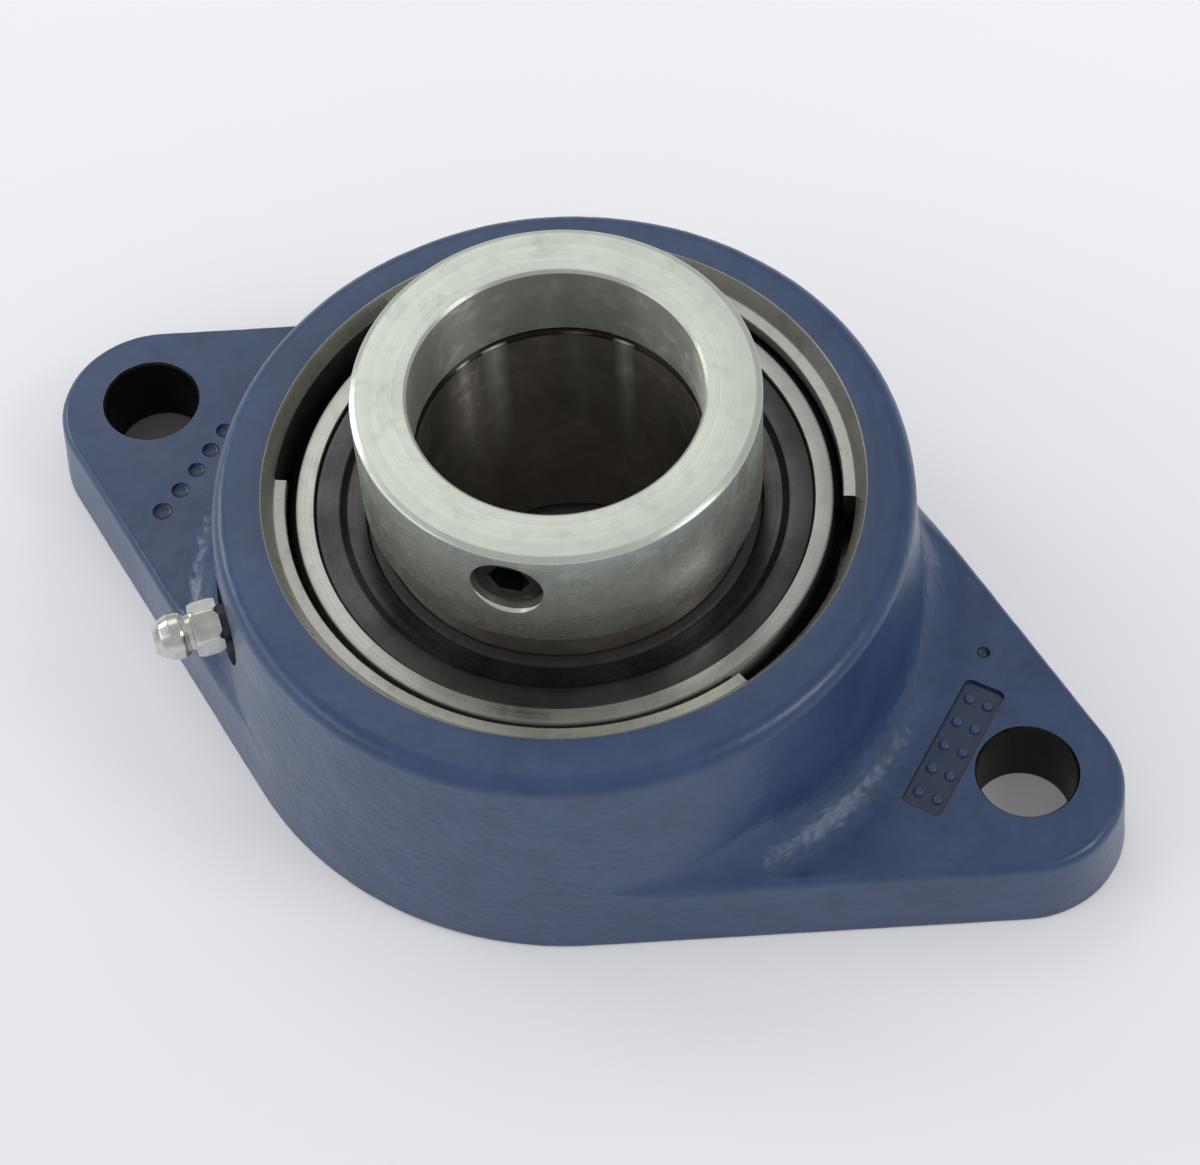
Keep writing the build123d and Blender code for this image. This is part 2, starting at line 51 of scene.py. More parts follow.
# ---------------------------------------------------------------- driving sizes (mm, degrees)
# housing
BOLT_SPACING = 143.7
BOLT_X = BOLT_SPACING / 2
BOLT_HOLE_R = 7.0
FLANGE_T = 13.0
LOBE_R = 15.2                    # flange ends
LOBE_X = 71.3                    # lobe centres from the boss centre
BOSS_R = 51.95                   # at z = 0
DRAFT = 0.0853                   # inward slope of cast walls per unit height
SLOPE = math.atan(DRAFT)
HOUSING_H = 38.5
SEAT_Z = 24.0                    # centre of the spherical seat
SEAT_R = 40.03
MOUTH_R = 42.0
NOTCH_R = 40.6                   # loading notches
NOTCH_HALF_DEG = 24.5
CAST_X, CAST_Y = 0.5, -1.05      # shift of the casting from the shaft axis
CAST_ANGLE = math.radians(-0.4)  # turn of the casting about Z
RIM_R = 2.4                      # rounding at the top of the boss
EDGE_R = 1.5                     # top edge of the flange
SKIRT_R = 0.6                    # bottom edge of the flange
OUTER_POINTS = 172               # points on the outer skin at each angle

# marks on the flange
PANEL_DEPTH = 0.6
PANEL_Z = FLANGE_T - PANEL_DEPTH
PANEL_CENTRE = (61.1, -1.0)
PANEL_SIZE = (6.0, 22.0)
PIP_SIZE = 1.6
PIP_TOP = 0.42                   # height above the panel, and size of the rounded top
PIPS = [(x, y) for x in (59.7, 62.5) for y in (-9.4, -5.2, -1.0, 3.2, 7.4)]
# x, y, radius
DIMPLES = [(-59.6, -16.4, 1.5), (-59.2, -12.0, 1.4), (-59.0, -7.8, 1.3),
           (-59.0, -3.8, 1.3), (-59.0, 0.2, 1.3), (58.4, 15.0, 0.95)]

# bearing rings
SPHERE_R = 40.0
OUTER_W = 21.0
FACE_LO, FACE_HI = SEAT_Z - OUTER_W / 2, SEAT_Z + OUTER_W / 2
OUTER_FACE_R = 37.45
OUTER_SHOULDER_R = 34.4
SEAL_SEAT_R = 34.9
SEAL_SEAT_DEPTH = 2.8
OIL_GROOVE_Z = (27.8, 31.4)
OIL_GROOVE_R = 38.3
OIL_HOLE_Z = 30.2
SHAFT_R = 20.0
INNER_R = 25.9
INNER_Z0, INNER_Z1 = 2.6, 45.5
STUB_Z, STUB_R = 39.2, 23.4      # eccentric stub that carries the collar
ECCENTRICITY = 0.9
STUB_GAP = 0.35
PITCH_R = 30.4
GROOVE_R = 6.2                   # ball groove section
GROOVE_REACH = 6.01              # pitch circle to either groove bottom

# collar, screw and nipple
COLLAR_R = 27.7
COLLAR_Z0, COLLAR_Z1 = 39.5, 58.9
RECESS_Z = 46.0
SCREW_AZ, SCREW_Z, SCREW_R = -76.0, 51.5, 5.0
SCREW_CUT_FROM = 15              # radius the screw hole is measured from
DRIFT_Z = 48.8
NIPPLE_AZ, NIPPLE_Z, NIPPLE_FACE_R = -135.0, 26.0, 49.7


# ---------------------------------------------------------------- mesh helpers
def new_obj(name, verts, faces, materials, sharp_angle=None, material_index=None):
    """Smooth-shaded object from vertices in mm."""
    mesh = bpy.data.meshes.new(name)
    mesh.from_pydata([tuple(v) for v in np.asarray(verts, float) * MM], [],
                     [tuple(f) for f in faces])
    if material_index is not None:
        mesh.polygons.foreach_set("material_index", np.asarray(material_index, np.int32))
    for material in materials:
        mesh.materials.append(material)
    mesh.polygons.foreach_set("use_smooth", [True] * len(mesh.polygons))
    mesh.validate()
    mesh.update()
    if sharp_angle is not None:
        mesh.set_sharp_from_angle(angle=math.radians(sharp_angle))
    obj = bpy.data.objects.new(name, mesh)
    scene.collection.objects.link(obj)
    return obj


def round_angles(count):
    return np.arange(count) * 2 * math.pi / count


def ring_vertices(radius, height, angles):
    """Vertices from tables of radius and height, one row per angle."""
    cos, sin = np.cos(angles)[:, None], np.sin(angles)[:, None]
    return np.stack([radius * cos, radius * sin, height], -1).reshape(-1, 3)


def ring_faces(verts, rows, columns):
    """Faces of a torus-like grid, turned to point out of the solid."""
    i, j = np.meshgrid(np.arange(rows), np.arange(columns), indexing="ij")
    row, next_row = i * columns, ((i + 1) % rows) * columns
    k = (j + 1) % columns
    faces = np.stack([row + j, next_row + j, next_row + k, row + k], -1).reshape(-1, 4)
    p = verts[faces]
    volume = 0.0
    for a, b, c in ((0, 1, 2), (0, 2, 3)):
        volume += np.einsum("ij,ij->i", p[:, a], np.cross(p[:, b], p[:, c])).sum() / 6
    return faces if volume > 0 else faces[:, ::-1]


def rounded(points, segments=4, closed=True):
    """Polyline with its corners rounded. Rows of points are x, y, corner radius."""
    out = []
    count = len(points)
    for i, (x, y, radius) in enumerate(points):
        corner = np.array([x, y], float)
        if radius <= 0 or (not closed and i in (0, count - 1)):
            out.append(corner)
            continue
        before = np.array(points[i - 1][:2], float) - corner
        after = np.array(points[(i + 1) % count][:2], float) - corner
        before_len, after_len = np.linalg.norm(before), np.linalg.norm(after)
        before, after = before / before_len, after / after_len
        opening = math.acos(max(-1, min(1, float(before @ after))))
        if opening > math.pi - 0.02:
            out.append(corner)
            continue
        trim = min(radius / math.tan(opening / 2), before_len * 0.49, after_len * 0.49)
        radius = trim * math.tan(opening / 2)
        bisector = (before + after) / np.linalg.norm(before + after)
        centre = corner + bisector * (radius / math.sin(opening / 2))
        start, end = corner + before * trim - centre, corner + after * trim - centre
        angle = math.atan2(start[1], start[0])
        turn = (math.atan2(end[1], end[0]) - angle + math.pi) % (2 * math.pi) - math.pi
        for k in range(segments + 1):
            t = angle + turn * k / segments
            out.append(centre + radius * np.array([math.cos(t), math.sin(t)]))
    return np.array(out)


def arc(centre, radius, start, end, count):
    t = np.linspace(start, end, count)
    return np.stack([centre[0] + radius * np.cos(t), centre[1] + radius * np.sin(t)], 1)


def unrounded(points):
    """Points as rows for rounded(), with no corner radius."""
    return [(x, y, 0) for x, y in points]


def lathe(name, profile, steps, materials, segments=4, sharp_angle=35):
    """Closed loop swept round Z. profile is a table of r, z, corner radius, or a function
    giving the finished (r, z) loop at an angle."""
    angles = round_angles(steps)
    if callable(profile):
        loops = np.array([profile(angle) for angle in angles])
    else:
        loops = np.array([rounded(profile, segments)] * steps)
    verts = ring_vertices(loops[..., 0], loops[..., 1], angles)
    faces = ring_faces(verts, steps, loops.shape[1])
    return new_obj(name, verts, faces, materials, sharp_angle)


def disc_solid(name, profile, steps, material, sharp_angle=35):
    """Solid round its own Z. profile is (r, z) from the bottom centre to the top centre."""
    profile = np.asarray(profile, float)
    rows = profile[1:-1]
    count = len(rows)
    verts, faces = [], []
    for angle in round_angles(steps):
        verts += [(r * math.cos(angle), r * math.sin(angle), z) for r, z in rows]
    bottom, top = len(verts), len(verts) + 1
    verts += [(0, 0, profile[0][1]), (0, 0, profile[-1][1])]
    for i in range(steps):
        a, b = i * count, (i + 1) % steps * count
        faces += [(a + k, b + k, b + k + 1, a + k + 1) for k in range(count - 1)]
        faces.append((bottom, b, a))
        faces.append((top, a + count - 1, b + count - 1))
    return new_obj(name, verts, faces, (material,), sharp_angle)


def tube_faces(loops, sides):
    """Wall faces and the two end faces of a stack of loops."""
    walls = [(q * sides + i, q * sides + (i + 1) % sides,
              (q + 1) * sides + (i + 1) % sides, (q + 1) * sides + i)
             for q in range(loops - 1) for i in range(sides)]
    ends = [tuple(range(sides))[::-1], tuple(range((loops - 1) * sides, loops * sides))]
    return walls, ends


def prism(name, points, z0, z1, material, grow=0.0):
    """Upright prism on an anticlockwise outline, its top edge pushed out by grow."""
    points = np.asarray(points, float)
    centre = points.mean(0)
    arms = points - centre
    top = centre + arms * (1 + grow / np.linalg.norm(arms, axis=1, keepdims=True))
    verts = [(x, y, z0) for x, y in points] + [(x, y, z1) for x, y in top]
    walls, ends = tube_faces(2, len(points))
    return new_obj(name, verts, ends + walls, (material,))


def rounded_rectangle(x, y, width, depth, radius, segments):
    x0, x1, y0, y1 = x - width / 2, x + width / 2, y - depth / 2, y + depth / 2
    return rounded([(x0, y0, radius), (x1, y0, radius), (x1, y1, radius), (x0, y1, radius)],
                   segments)


def place(obj, azimuth, z, r):
    """Turns local Z to point out along the azimuth, from radius r at height z."""
    angle = math.radians(azimuth)
    out = Vector((math.cos(angle), math.sin(angle), 0))
    local_x = Vector((-out.y, out.x, 0))
    matrix = Matrix((local_x, out.cross(local_x), out)).transposed().to_4x4()
    matrix.translation = Vector((r * out.x, r * out.y, z)) * MM
    obj.data.transform(matrix)
    return obj


def shift(obj, x, y, z):
    obj.data.transform(Matrix.Translation((x * MM, y * MM, z * MM)))
    return obj


def remove(obj):
    mesh = obj.data
    bpy.data.objects.remove(obj)
    bpy.data.meshes.remove(mesh)


def joined(objs):
    """One mesh from several, each keeping its own finish."""
    verts, faces, materials, index = [], [], [], []
    for obj in objs:
        mesh = obj.data
        offset = len(verts)
        verts += [tuple(v.co / MM) for v in mesh.vertices]
        for face in mesh.polygons:
            faces.append(tuple(offset + i for i in face.vertices))
            material = mesh.materials[face.material_index]
            if material not in materials:
                materials.append(material)
            index.append(materials.index(material))
        remove(obj)
    return new_obj("joined", verts, faces, materials, material_index=index)


def boolean(obj, cutters, operation="DIFFERENCE"):
    """Applies the cutters to obj and removes them."""
    cutter = joined(cutters) if len(cutters) > 1 else cutters[0]
    modifier = obj.modifiers.new("b", "BOOLEAN")
    modifier.object = cutter
    modifier.operation = operation
    modifier.solver = "EXACT"
    modifier.material_mode = "TRANSFER"
    graph = bpy.context.evaluated_depsgraph_get()
    mesh = bpy.data.meshes.new_from_object(obj.evaluated_get(graph),
                                           preserve_all_data_layers=True, depsgraph=graph)
    obj.modifiers.clear()
    old = obj.data
    obj.data = mesh
    bpy.data.meshes.remove(old)
    mesh.name = obj.name
    remove(cutter)
    return obj


def clean(obj, sharp_angle=35):
    """Welds the debris of a boolean and sets the shading again."""
    mesh = obj.data
    bm = bmesh.new()
    bm.from_mesh(mesh)
    bmesh.ops.remove_doubles(bm, verts=bm.verts, dist=2e-6)
    bmesh.ops.dissolve_degenerate(bm, edges=bm.edges, dist=1e-6)
    loose = [v for v in bm.verts if not v.link_faces]
    bmesh.ops.delete(bm, geom=loose, context="VERTS")
    bm.to_mesh(mesh)
    bm.free()
    mesh.polygons.foreach_set("use_smooth", [True] * len(mesh.polygons))
    mesh.set_sharp_from_angle(angle=math.radians(sharp_angle))
    mesh.update()


def register(obj, carrier, node):
    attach(obj, carrier)
    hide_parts(node)


# ---------------------------------------------------------------- material helpers
class Shader:
    """A Principled material being built; its methods add nodes and return sockets."""
    INPUTS = {"color": "Base Color", "rough": "Roughness", "metal": "Metallic",
              "normal": "Normal", "coat": "Coat Weight", "coat_rough": "Coat Roughness",
              "spec": "Specular IOR Level", "aniso": "Anisotropic",
              "aniso_rot": "Anisotropic Rotation", "tangent": "Tangent",
              "glow_color": "Emission Color", "glow": "Emission Strength"}

    def __init__(self, name):
        self.material = bpy.data.materials.new(name)
        self.material.use_nodes = True
        self.tree = self.material.node_tree
        self.tree.nodes.clear()
        output = self.tree.nodes.new("ShaderNodeOutputMaterial")
        self.bsdf = self.tree.nodes.new("ShaderNodeBsdfPrincipled")
        self.tree.links.new(self.bsdf.outputs[0], output.inputs[0])
        self.coords = self.tree.nodes.new("ShaderNodeTexCoord").outputs["Object"]

    def put(self, socket, value):
        if isinstance(value, bpy.types.NodeSocket):
            self.tree.links.new(value, socket)
        else:
            socket.default_value = value

    def node(self, kind, inputs={}, **settings):
        node = self.tree.nodes.new("ShaderNode" + kind)
        for key, value in settings.items():
            setattr(node, key, value)
        for key, value in inputs.items():
            self.put(node.inputs[key], value)
        return node

    def surface(self, **values):
        for key, value in values.items():
            self.put(self.bsdf.inputs[self.INPUTS[key]], value)
        return self.material

    def noise(self, scale, detail=4, rough=0.6, coords=None, distortion=0.0):
        inputs = {"Vector": coords or self.coords, "Scale": scale, "Detail": detail,
                  "Roughness": rough, "Distortion": distortion}
        return self.node("TexNoise", inputs).outputs["Fac"]

    def voronoi(self, scale):
        inputs = {"Vector": self.coords, "Scale": scale}
        return self.node("TexVoronoi", inputs).outputs["Distance"]

    def remap(self, value, span=(0.3, 0.7), to=(0, 1)):
        inputs = {"Value": value, "From Min": span[0], "From Max": span[1],
                  "To Min": to[0], "To Max": to[1]}
        return self.node("MapRange", inputs).outputs["Result"]

    def calc(self, operation, a, b=0.0):
        return self.node("Math", {0: a, 1: b}, operation=operation).outputs[0]

    def add(self, a, b):
        return self.calc("ADD", a, b)

    def times(self, a, b):
        return self.calc("MULTIPLY", a, b)

    def distance(self, a, b):
        return self.calc("ABSOLUTE", self.calc("SUBTRACT", a, b))

    def hypot(self, x, y):
        return self.calc("SQRT", self.add(self.times(x, x), self.times(y, y)))

    def mix(self, amount, under, over):
        """under and over are sockets or linear RGB."""
        under, over = (c if isinstance(c, bpy.types.NodeSocket) else (*c, 1.0)
                       for c in (under, over))
        return self.node("Mix", {0: amount, 6: under, 7: over}, data_type="RGBA").outputs[2]

    def bump(self, height, strength, depth):
        inputs = {"Height": height, "Strength": strength, "Distance": depth}
        return self.node("Bump", inputs).outputs["Normal"]

    def xyz(self):
        return self.node("SeparateXYZ", {"Vector": self.coords}).outputs[:3]

    def polar(self):
        """Radius and height about the shaft axis."""
        x, y, z = self.xyz()
        return self.hypot(x, y), z

    def turning_lines(self, r, z, per_metre):
        """Coordinates that stretch noise into rings round Z."""
        inputs = {0: self.times(r, per_metre), 1: self.times(z, per_metre), 2: 0.0}
        return self.node("CombineXYZ", inputs).outputs[0]

    def tangent_z(self):
        return self.node("Tangent", direction_type="RADIAL", axis="Z").outputs[0]


def scaled(color, factor):
    return tuple(c * factor for c in color)


# near-black painted shade for the gaps between the parts, and how fully it covers
PAINTED_SHADE = (0.008, 0.007, 0.006)
PAINTED_SHADE_COVER = 0.93


# ---------------------------------------------------------------- materials
def painted(name, shade=1.0):
    """Blue paint on a casting; shade below 1 darkens it, as painted shade for recesses."""
    mat = Shader(name)
    broad = mat.noise(scale=28, rough=0.55)
    mottle = mat.noise(scale=160)
    fine = mat.noise(scale=900, detail=3)
    pits = mat.voronoi(scale=420)
    base = mat.mix(mat.remap(broad), under=(0.021, 0.054, 0.142), over=(0.029, 0.067, 0.163))
    base = mat.mix(mat.remap(mottle, span=(0.35, 0.72), to=(0, 0.8)), base,
                   over=(0.016, 0.041, 0.106))
    # paler on convex edges
    convex = mat.node("NewGeometry").outputs["Pointiness"]
    edge = mat.remap(convex, span=(0.515, 0.56))
    base = mat.mix(mat.times(edge, mat.remap(fine, to=(0.15, 0.6))), base,
                   over=(0.06, 0.09, 0.17))
    # painted shade: darker in hollows, by ambient occlusion
    openness = mat.node("AmbientOcclusion", {"Distance": 0.006}, samples=8).outputs["AO"]
    base = mat.mix(mat.remap(openness, span=(0.25, 0.8), to=(0.75, 0)), base,
                   over=(0.012, 0.022, 0.050))
    # small specks of grit
    speck = mat.remap(mat.voronoi(scale=260), span=(0.035, 0.06), to=(0.5, 0))
    base = mat.mix(speck, base, over=(0.014, 0.028, 0.070))
    # painted shade: a darker copy of the paint
    if shade < 1:
        base = mat.mix(1.0 - shade, base, over=(0.004, 0.008, 0.020))
    rough = mat.remap(mat.noise(scale=60), to=(0.30, 0.44))
    # relief: mottle and fine grain, less the pits
    height = mat.add(mat.times(mottle, 0.55), mat.times(fine, 0.22))
    height = mat.calc("SUBTRACT", height, mat.remap(pits, span=(0, 0.10), to=(0.10, 0)))
    return mat.surface(color=base, rough=rough, spec=0.48, coat=0.25, coat_rough=0.28,
                       normal=mat.bump(height, strength=0.62, depth=0.00022))


def machined_iron(name, light, dark, rough=(0.30, 0.48), marks=9000.0, metal=0.75, shade_above=None):
    """Turned iron. marks is ring lines per metre; painted shade lies above the height oily."""
    mat = Shader(name)
    r, z = mat.polar()
    lines = mat.turning_lines(r, z, per_metre=marks)
    groove = mat.noise(scale=1.0, detail=2, rough=0.5, coords=lines)
    cloud = mat.noise(scale=90)
    base = mat.mix(mat.remap(cloud), under=dark, over=light)
    stain = mat.remap(mat.noise(scale=500, detail=3), span=(0.55, 0.75), to=(0, 0.5))
    base = mat.mix(stain, base, over=scaled(dark, 0.55))
    if shade_above:
        # painted shade: near black above that height, the gap beside the outer ring
        shade_mask = mat.remap(z, span=(shade_above - 0.0005, shade_above), to=(0, PAINTED_SHADE_COVER))
        base = mat.mix(shade_mask, base, over=PAINTED_SHADE)
    height = mat.add(groove, mat.times(cloud, 0.4))
    return mat.surface(color=base, metal=metal, rough=mat.remap(cloud, to=rough),
                       normal=mat.bump(height, strength=0.35, depth=0.00004),
                       aniso=0.4, tangent=mat.tangent_z())


def cast_iron(name):
    mat = Shader(name)
    coarse = mat.noise(scale=140, detail=5, rough=0.65)
    fine = mat.noise(scale=700, detail=3)
    base = mat.mix(mat.remap(coarse), under=(0.012, 0.012, 0.012), over=(0.035, 0.030, 0.026))
    base = mat.mix(mat.remap(fine, span=(0.55, 0.8), to=(0, 0.5)), base,
                   over=(0.07, 0.045, 0.03))
    height = mat.add(coarse, mat.times(fine, 0.5))
    return mat.surface(color=base, metal=0.15, rough=mat.remap(fine, to=(0.55, 0.8)), spec=0.35,
                       normal=mat.bump(height, strength=0.7, depth=0.00025))


def turned_steel(name, light, dark, rough, aniso, smears, strength=0.25, scratch=0.5,
                 metal=1.0, side=None, shade_zone=None, streaks=()):
    """Lathe-turned or ground steel: fine rings round the shaft axis, clouding and smears.
    side: radii of the inner and outer walls, shaded apart from the faces.
    grime: spans of radius and of height from the seat centre over which painted shade sets in.
    streaks: rows of azimuth, half width (degrees) and strength of painted highlights in the
    bore."""
    mat = Shader(name)
    r, z = mat.polar()
    rings = mat.turning_lines(r, z, per_metre=5200.0)
    fine = mat.noise(scale=1.0, detail=3, coords=rings)
    cloud = mat.noise(scale=120)
    smear = mat.noise(scale=320, detail=5, rough=0.65, distortion=0.6)
    base = mat.mix(mat.remap(cloud), under=dark, over=light)
    base = mat.mix(mat.remap(smear, span=(0.58, 0.75), to=(0, smears)), base,
                   over=scaled(dark, 0.6))
    if shade_zone:
        # painted shade: darker at the corners and ends where the parts meet
        shade_mask = mat.times(mat.remap(r, span=shade_zone[0]),
                         mat.remap(mat.distance(z, SEAT_Z * MM), span=shade_zone[1]))
        base = mat.mix(mat.times(shade_mask, PAINTED_SHADE_COVER), base, over=PAINTED_SHADE)
    if streaks:
        angle = mat.calc("ARCTAN2", mat.xyz()[1], mat.xyz()[0])
    for azimuth, half_width, gain in streaks:
        # painted highlight: pale axial streaks of reflected light, fading with depth
        streak = mat.remap(mat.distance(angle, math.radians(azimuth)),
                           span=(0, math.radians(half_width)), to=(1, 0))
        streak = mat.times(streak, mat.remap(r, span=(0.0201, 0.0203), to=(1, 0)))
        streak = mat.times(streak, mat.remap(z, span=(0.020, 0.044), to=(0, gain)))
        base = mat.mix(streak, base, over=tuple(min(0.9, c * 3.0) for c in light))
    if side:
        # walls turned along the axis spread light more than the faces do
        inner = mat.remap(r, span=(side[0], side[0] + 0.0004), to=(1, 0))
        outer = mat.remap(r, span=(side[1] - 0.0004, side[1]))
        aniso = mat.calc("MAXIMUM", mat.remap(inner, span=(0, 1), to=(aniso, 0.95)),
                         mat.remap(outer, span=(0, 1), to=(aniso, 0.6)))
        rough = [mat.remap(outer, span=(0, 1), to=(q, 0.72 * q)) for q in rough]
    roughness = mat.add(mat.remap(fine, to=rough),
                        mat.remap(smear, span=(0.5, 0.8), to=(0, 0.12)))
    height = mat.add(fine, mat.times(smear, scratch))
    return mat.surface(color=base, metal=metal, rough=roughness, aniso=aniso, aniso_rot=0.25,
                       tangent=mat.tangent_z(),
                       normal=mat.bump(height, strength=strength, depth=0.00002))


def plain_metal(name, light, dark, rough=(0.15, 0.3), scale=300, strength=0.3, metal=1.0):
    mat = Shader(name)
    cloud = mat.noise(scale=scale)
    fine = mat.noise(scale=scale * 5, detail=3)
    base = mat.mix(mat.remap(cloud), under=dark, over=light)
    base = mat.mix(mat.remap(fine, span=(0.6, 0.8), to=(0, 0.35)), base, over=scaled(dark, 0.5))
    height = mat.add(cloud, mat.times(fine, 0.5))
    return mat.surface(color=base, metal=metal, rough=mat.remap(cloud, to=rough),
                       normal=mat.bump(height, strength=strength, depth=0.00005))


def rubber(name):
    mat = Shader(name)
    cloud = mat.noise(scale=250)
    fine = mat.noise(scale=1600, detail=2, rough=0.5)
    base = mat.mix(mat.remap(cloud), under=(0.008, 0.008, 0.008), over=(0.018, 0.018, 0.019))
    return mat.surface(color=base, rough=mat.remap(fine, to=(0.42, 0.62)), spec=0.4,
                       normal=mat.bump(mat.add(cloud, fine), strength=0.3, depth=0.00005))


INNER_TOP = (INNER_Z1 - SEAT_Z) * MM
STREAK_A, STREAK_B = 146, 92     # azimuths of the two main painted highlights in the bore
PAINT = painted("slate_blue_paint")
# darker copy of the paint for the panel, dimples and spot face: painted shade
SHADED_PAINT = painted("paint_shaded_in_hollows", shade=0.45)
MOUTH = machined_iron("bare_machined_iron", light=(0.47, 0.46, 0.42), dark=(0.36, 0.35, 0.315),
                      rough=(0.20, 0.32), metal=0.6)
# its top edge is darkened as painted shade of the gap beside the ring
SEAT = machined_iron("seat_iron", light=(0.34, 0.34, 0.31), dark=(0.20, 0.195, 0.175),
                     metal=0.6, shade_above=0.0335)
BACK = machined_iron("ground_back_iron", light=(0.34, 0.34, 0.33), dark=(0.22, 0.22, 0.215),
                     marks=3000.0)
CAST = cast_iron("raw_cast_iron")
DRILLED = machined_iron("drilled_iron", light=(0.030, 0.023, 0.018),
                        dark=(0.012, 0.009, 0.007), rough=(0.35, 0.6), marks=4000.0)
# its face corners are darkened as painted shade
RING = turned_steel("ring_steel", light=(0.42, 0.42, 0.39), dark=(0.34, 0.34, 0.31),
                    rough=(0.20, 0.32), strength=0.15, scratch=0.3, aniso=0.4, smears=0.15,
                    shade_zone=((0.0371, 0.0376), (0.0090, 0.0096)))
# painted shade at its ends, and painted highlights in its bore
INNER = turned_steel("inner_ring_steel", light=(0.34, 0.305, 0.265), dark=(0.25, 0.225, 0.195),
                     rough=(0.28, 0.36), strength=0.08, scratch=0.1, aniso=1.0, smears=0.15,
                     shade_zone=((0.0, 0.0001), (INNER_TOP - 0.0009, INNER_TOP - 0.0006)),
                     streaks=((STREAK_A, 6, 1.0), (STREAK_B, 5, 0.9),
                              (STREAK_A + 15, 4, 0.35), (STREAK_B + 20, 7, 0.2)))
COLLAR = turned_steel("zinc_collar", light=(0.64, 0.68, 0.595), dark=(0.58, 0.61, 0.535),
                      rough=(0.30, 0.42), scratch=0.25, strength=0.12, metal=0.9, aniso=0.3,
                      side=(0.0203, 0.0272), smears=0.12)
SHIELD = turned_steel("dark_shield_steel", light=(0.085, 0.080, 0.082),
                      dark=(0.045, 0.042, 0.044), rough=(0.20, 0.32), metal=0.9, aniso=0.4,
                      smears=0.15)
WASHER = plain_metal("seal_washer_steel", light=(0.30, 0.30, 0.30), dark=(0.18, 0.18, 0.18))
RUBBER = rubber("nitrile_rubber")
BLACK = plain_metal("black_oxide", light=(0.035, 0.034, 0.036), dark=(0.016, 0.016, 0.017),
                    rough=(0.28, 0.45), metal=0.7)
ZINC = plain_metal("bright_zinc", light=(0.70, 0.70, 0.66), dark=(0.48, 0.48, 0.44),
                   rough=(0.14, 0.30), scale=500)
# darker than the zinc above it
SHANK = plain_metal("darkened_shank", light=(0.10, 0.10, 0.11), dark=(0.05, 0.05, 0.055),
                    rough=(0.35, 0.5))
BALL = plain_metal("polished_ball", light=(0.72, 0.72, 0.73), dark=(0.60, 0.60, 0.61),
                   rough=(0.04, 0.09), strength=0.05)
CAGE = plain_metal("pressed_cage_steel", light=(0.50, 0.49, 0.46), dark=(0.33, 0.32, 0.30),
                   rough=(0.24, 0.40))
SPRING = plain_metal("spring_wire", light=(0.50, 0.50, 0.50), dark=(0.36, 0.36, 0.36),
                     rough=(0.2, 0.3))

# ---------------------------------------------------------------- housing casting
LOBES = [(CAST_X + side * LOBE_X * math.cos(CAST_ANGLE),
          CAST_Y + side * LOBE_X * math.sin(CAST_ANGLE)) for side in (-1, 1)]
# angle between the lobe line and the normal of each straight edge, tangent to boss and lobe
TANGENT_ANGLE = math.acos((BOSS_R - LOBE_R) / LOBE_X)


def ray_to_circle(angle, x, y, radius):
    """Distance from the axis to the far side of a circle, 0 where the ray misses."""
    along = x * math.cos(angle) + y * math.sin(angle)
    across = x * math.sin(angle) - y * math.cos(angle)
    square = np.asarray(radius, float) ** 2 - across * across
    reach = along + np.sqrt(np.maximum(square, 0))
    return np.where((square >= 0) & (reach > 0), reach, 0.0)


def outline(angle, inset):
    """Distance from the shaft axis to the oval outline moved inwards by inset."""
    inset = np.asarray(inset, float)
    radius = ray_to_circle(angle, CAST_X, CAST_Y, BOSS_R - inset)
    for x, y in LOBES:
        radius = np.maximum(radius, ray_to_circle(angle, x, y, LOBE_R - inset))
    ray_x, ray_y = math.cos(angle), math.sin(angle)
    for end, side in ((0, 1), (0, -1), (math.pi, 1), (math.pi, -1)):
        normal = CAST_ANGLE + end + side * TANGENT_ANGLE
        normal_x, normal_y = math.cos(normal), math.sin(normal)
        facing = ray_x * normal_x + ray_y * normal_y
        if facing < 0.05:
            continue
        reach = (BOSS_R - inset + CAST_X * normal_x + CAST_Y * normal_y) / facing
        along = ((reach * ray_x - CAST_X) * side * normal_y
                 - (reach * ray_y - CAST_Y) * side * normal_x)
        on_edge = (along >= 0) & (along <= LOBE_X * math.sin(TANGENT_ANGLE))
        radius = np.where(on_edge, np.maximum(radius, reach), radius)
    return radius


def step_lengths(points):
    return np.linalg.norm(np.diff(points, axis=0), axis=1)


def unit(vector):
    return vector / np.linalg.norm(vector)


def soften_edge(upper, side, width):
    """Rounds the corner between the flange top and its side: upper, edge and side points."""
    corner = side[0]
    incoming = unit(upper[-1] - upper[-2] if len(upper) > 1 else np.array([DRAFT, -1.0]))
    outgoing = unit(side[1] - side[0])
    turn = math.acos(max(-1.0, min(1.0, float(incoming @ outgoing))))
    travel = np.r_[0, np.cumsum(step_lengths(upper))]
    # larger radius where the flange is narrow
    narrow = max(0.0, min(1.0, (6.0 - width) / 6.0))
    radius = EDGE_R + 2.0 * narrow * narrow * (3 - 2 * narrow)
    trim = min(radius * math.tan(turn / 2), travel[-1] * 0.85, 5.0)
    if trim <= 1e-3:
        return upper, np.zeros((0, 2)), side
    cut = travel[-1] - trim
    i = int(np.searchsorted(travel, cut))
    start = np.array([np.interp(cut, travel, upper[:, 0]), np.interp(cut, travel, upper[:, 1])])
    tangent = unit(upper[min(i, len(upper) - 1)] - upper[max(i - 1, 0)])
    z = corner[1] - trim
    end = np.array([np.interp(-z, -side[:, 1], side[:, 0]), z])
    handle = 0.56 * trim
    b = np.linspace(0, 1, 13)[1:-1, None]
    edge = ((1 - b) ** 3 * start + 3 * (1 - b) ** 2 * b * (start + tangent * handle)
            + 3 * (1 - b) * b ** 2 * (end - outgoing * handle) + b ** 3 * end)
    return np.vstack([upper[:i], start]), edge, np.vstack([end, side[side[:, 1] < z - 1e-4]])


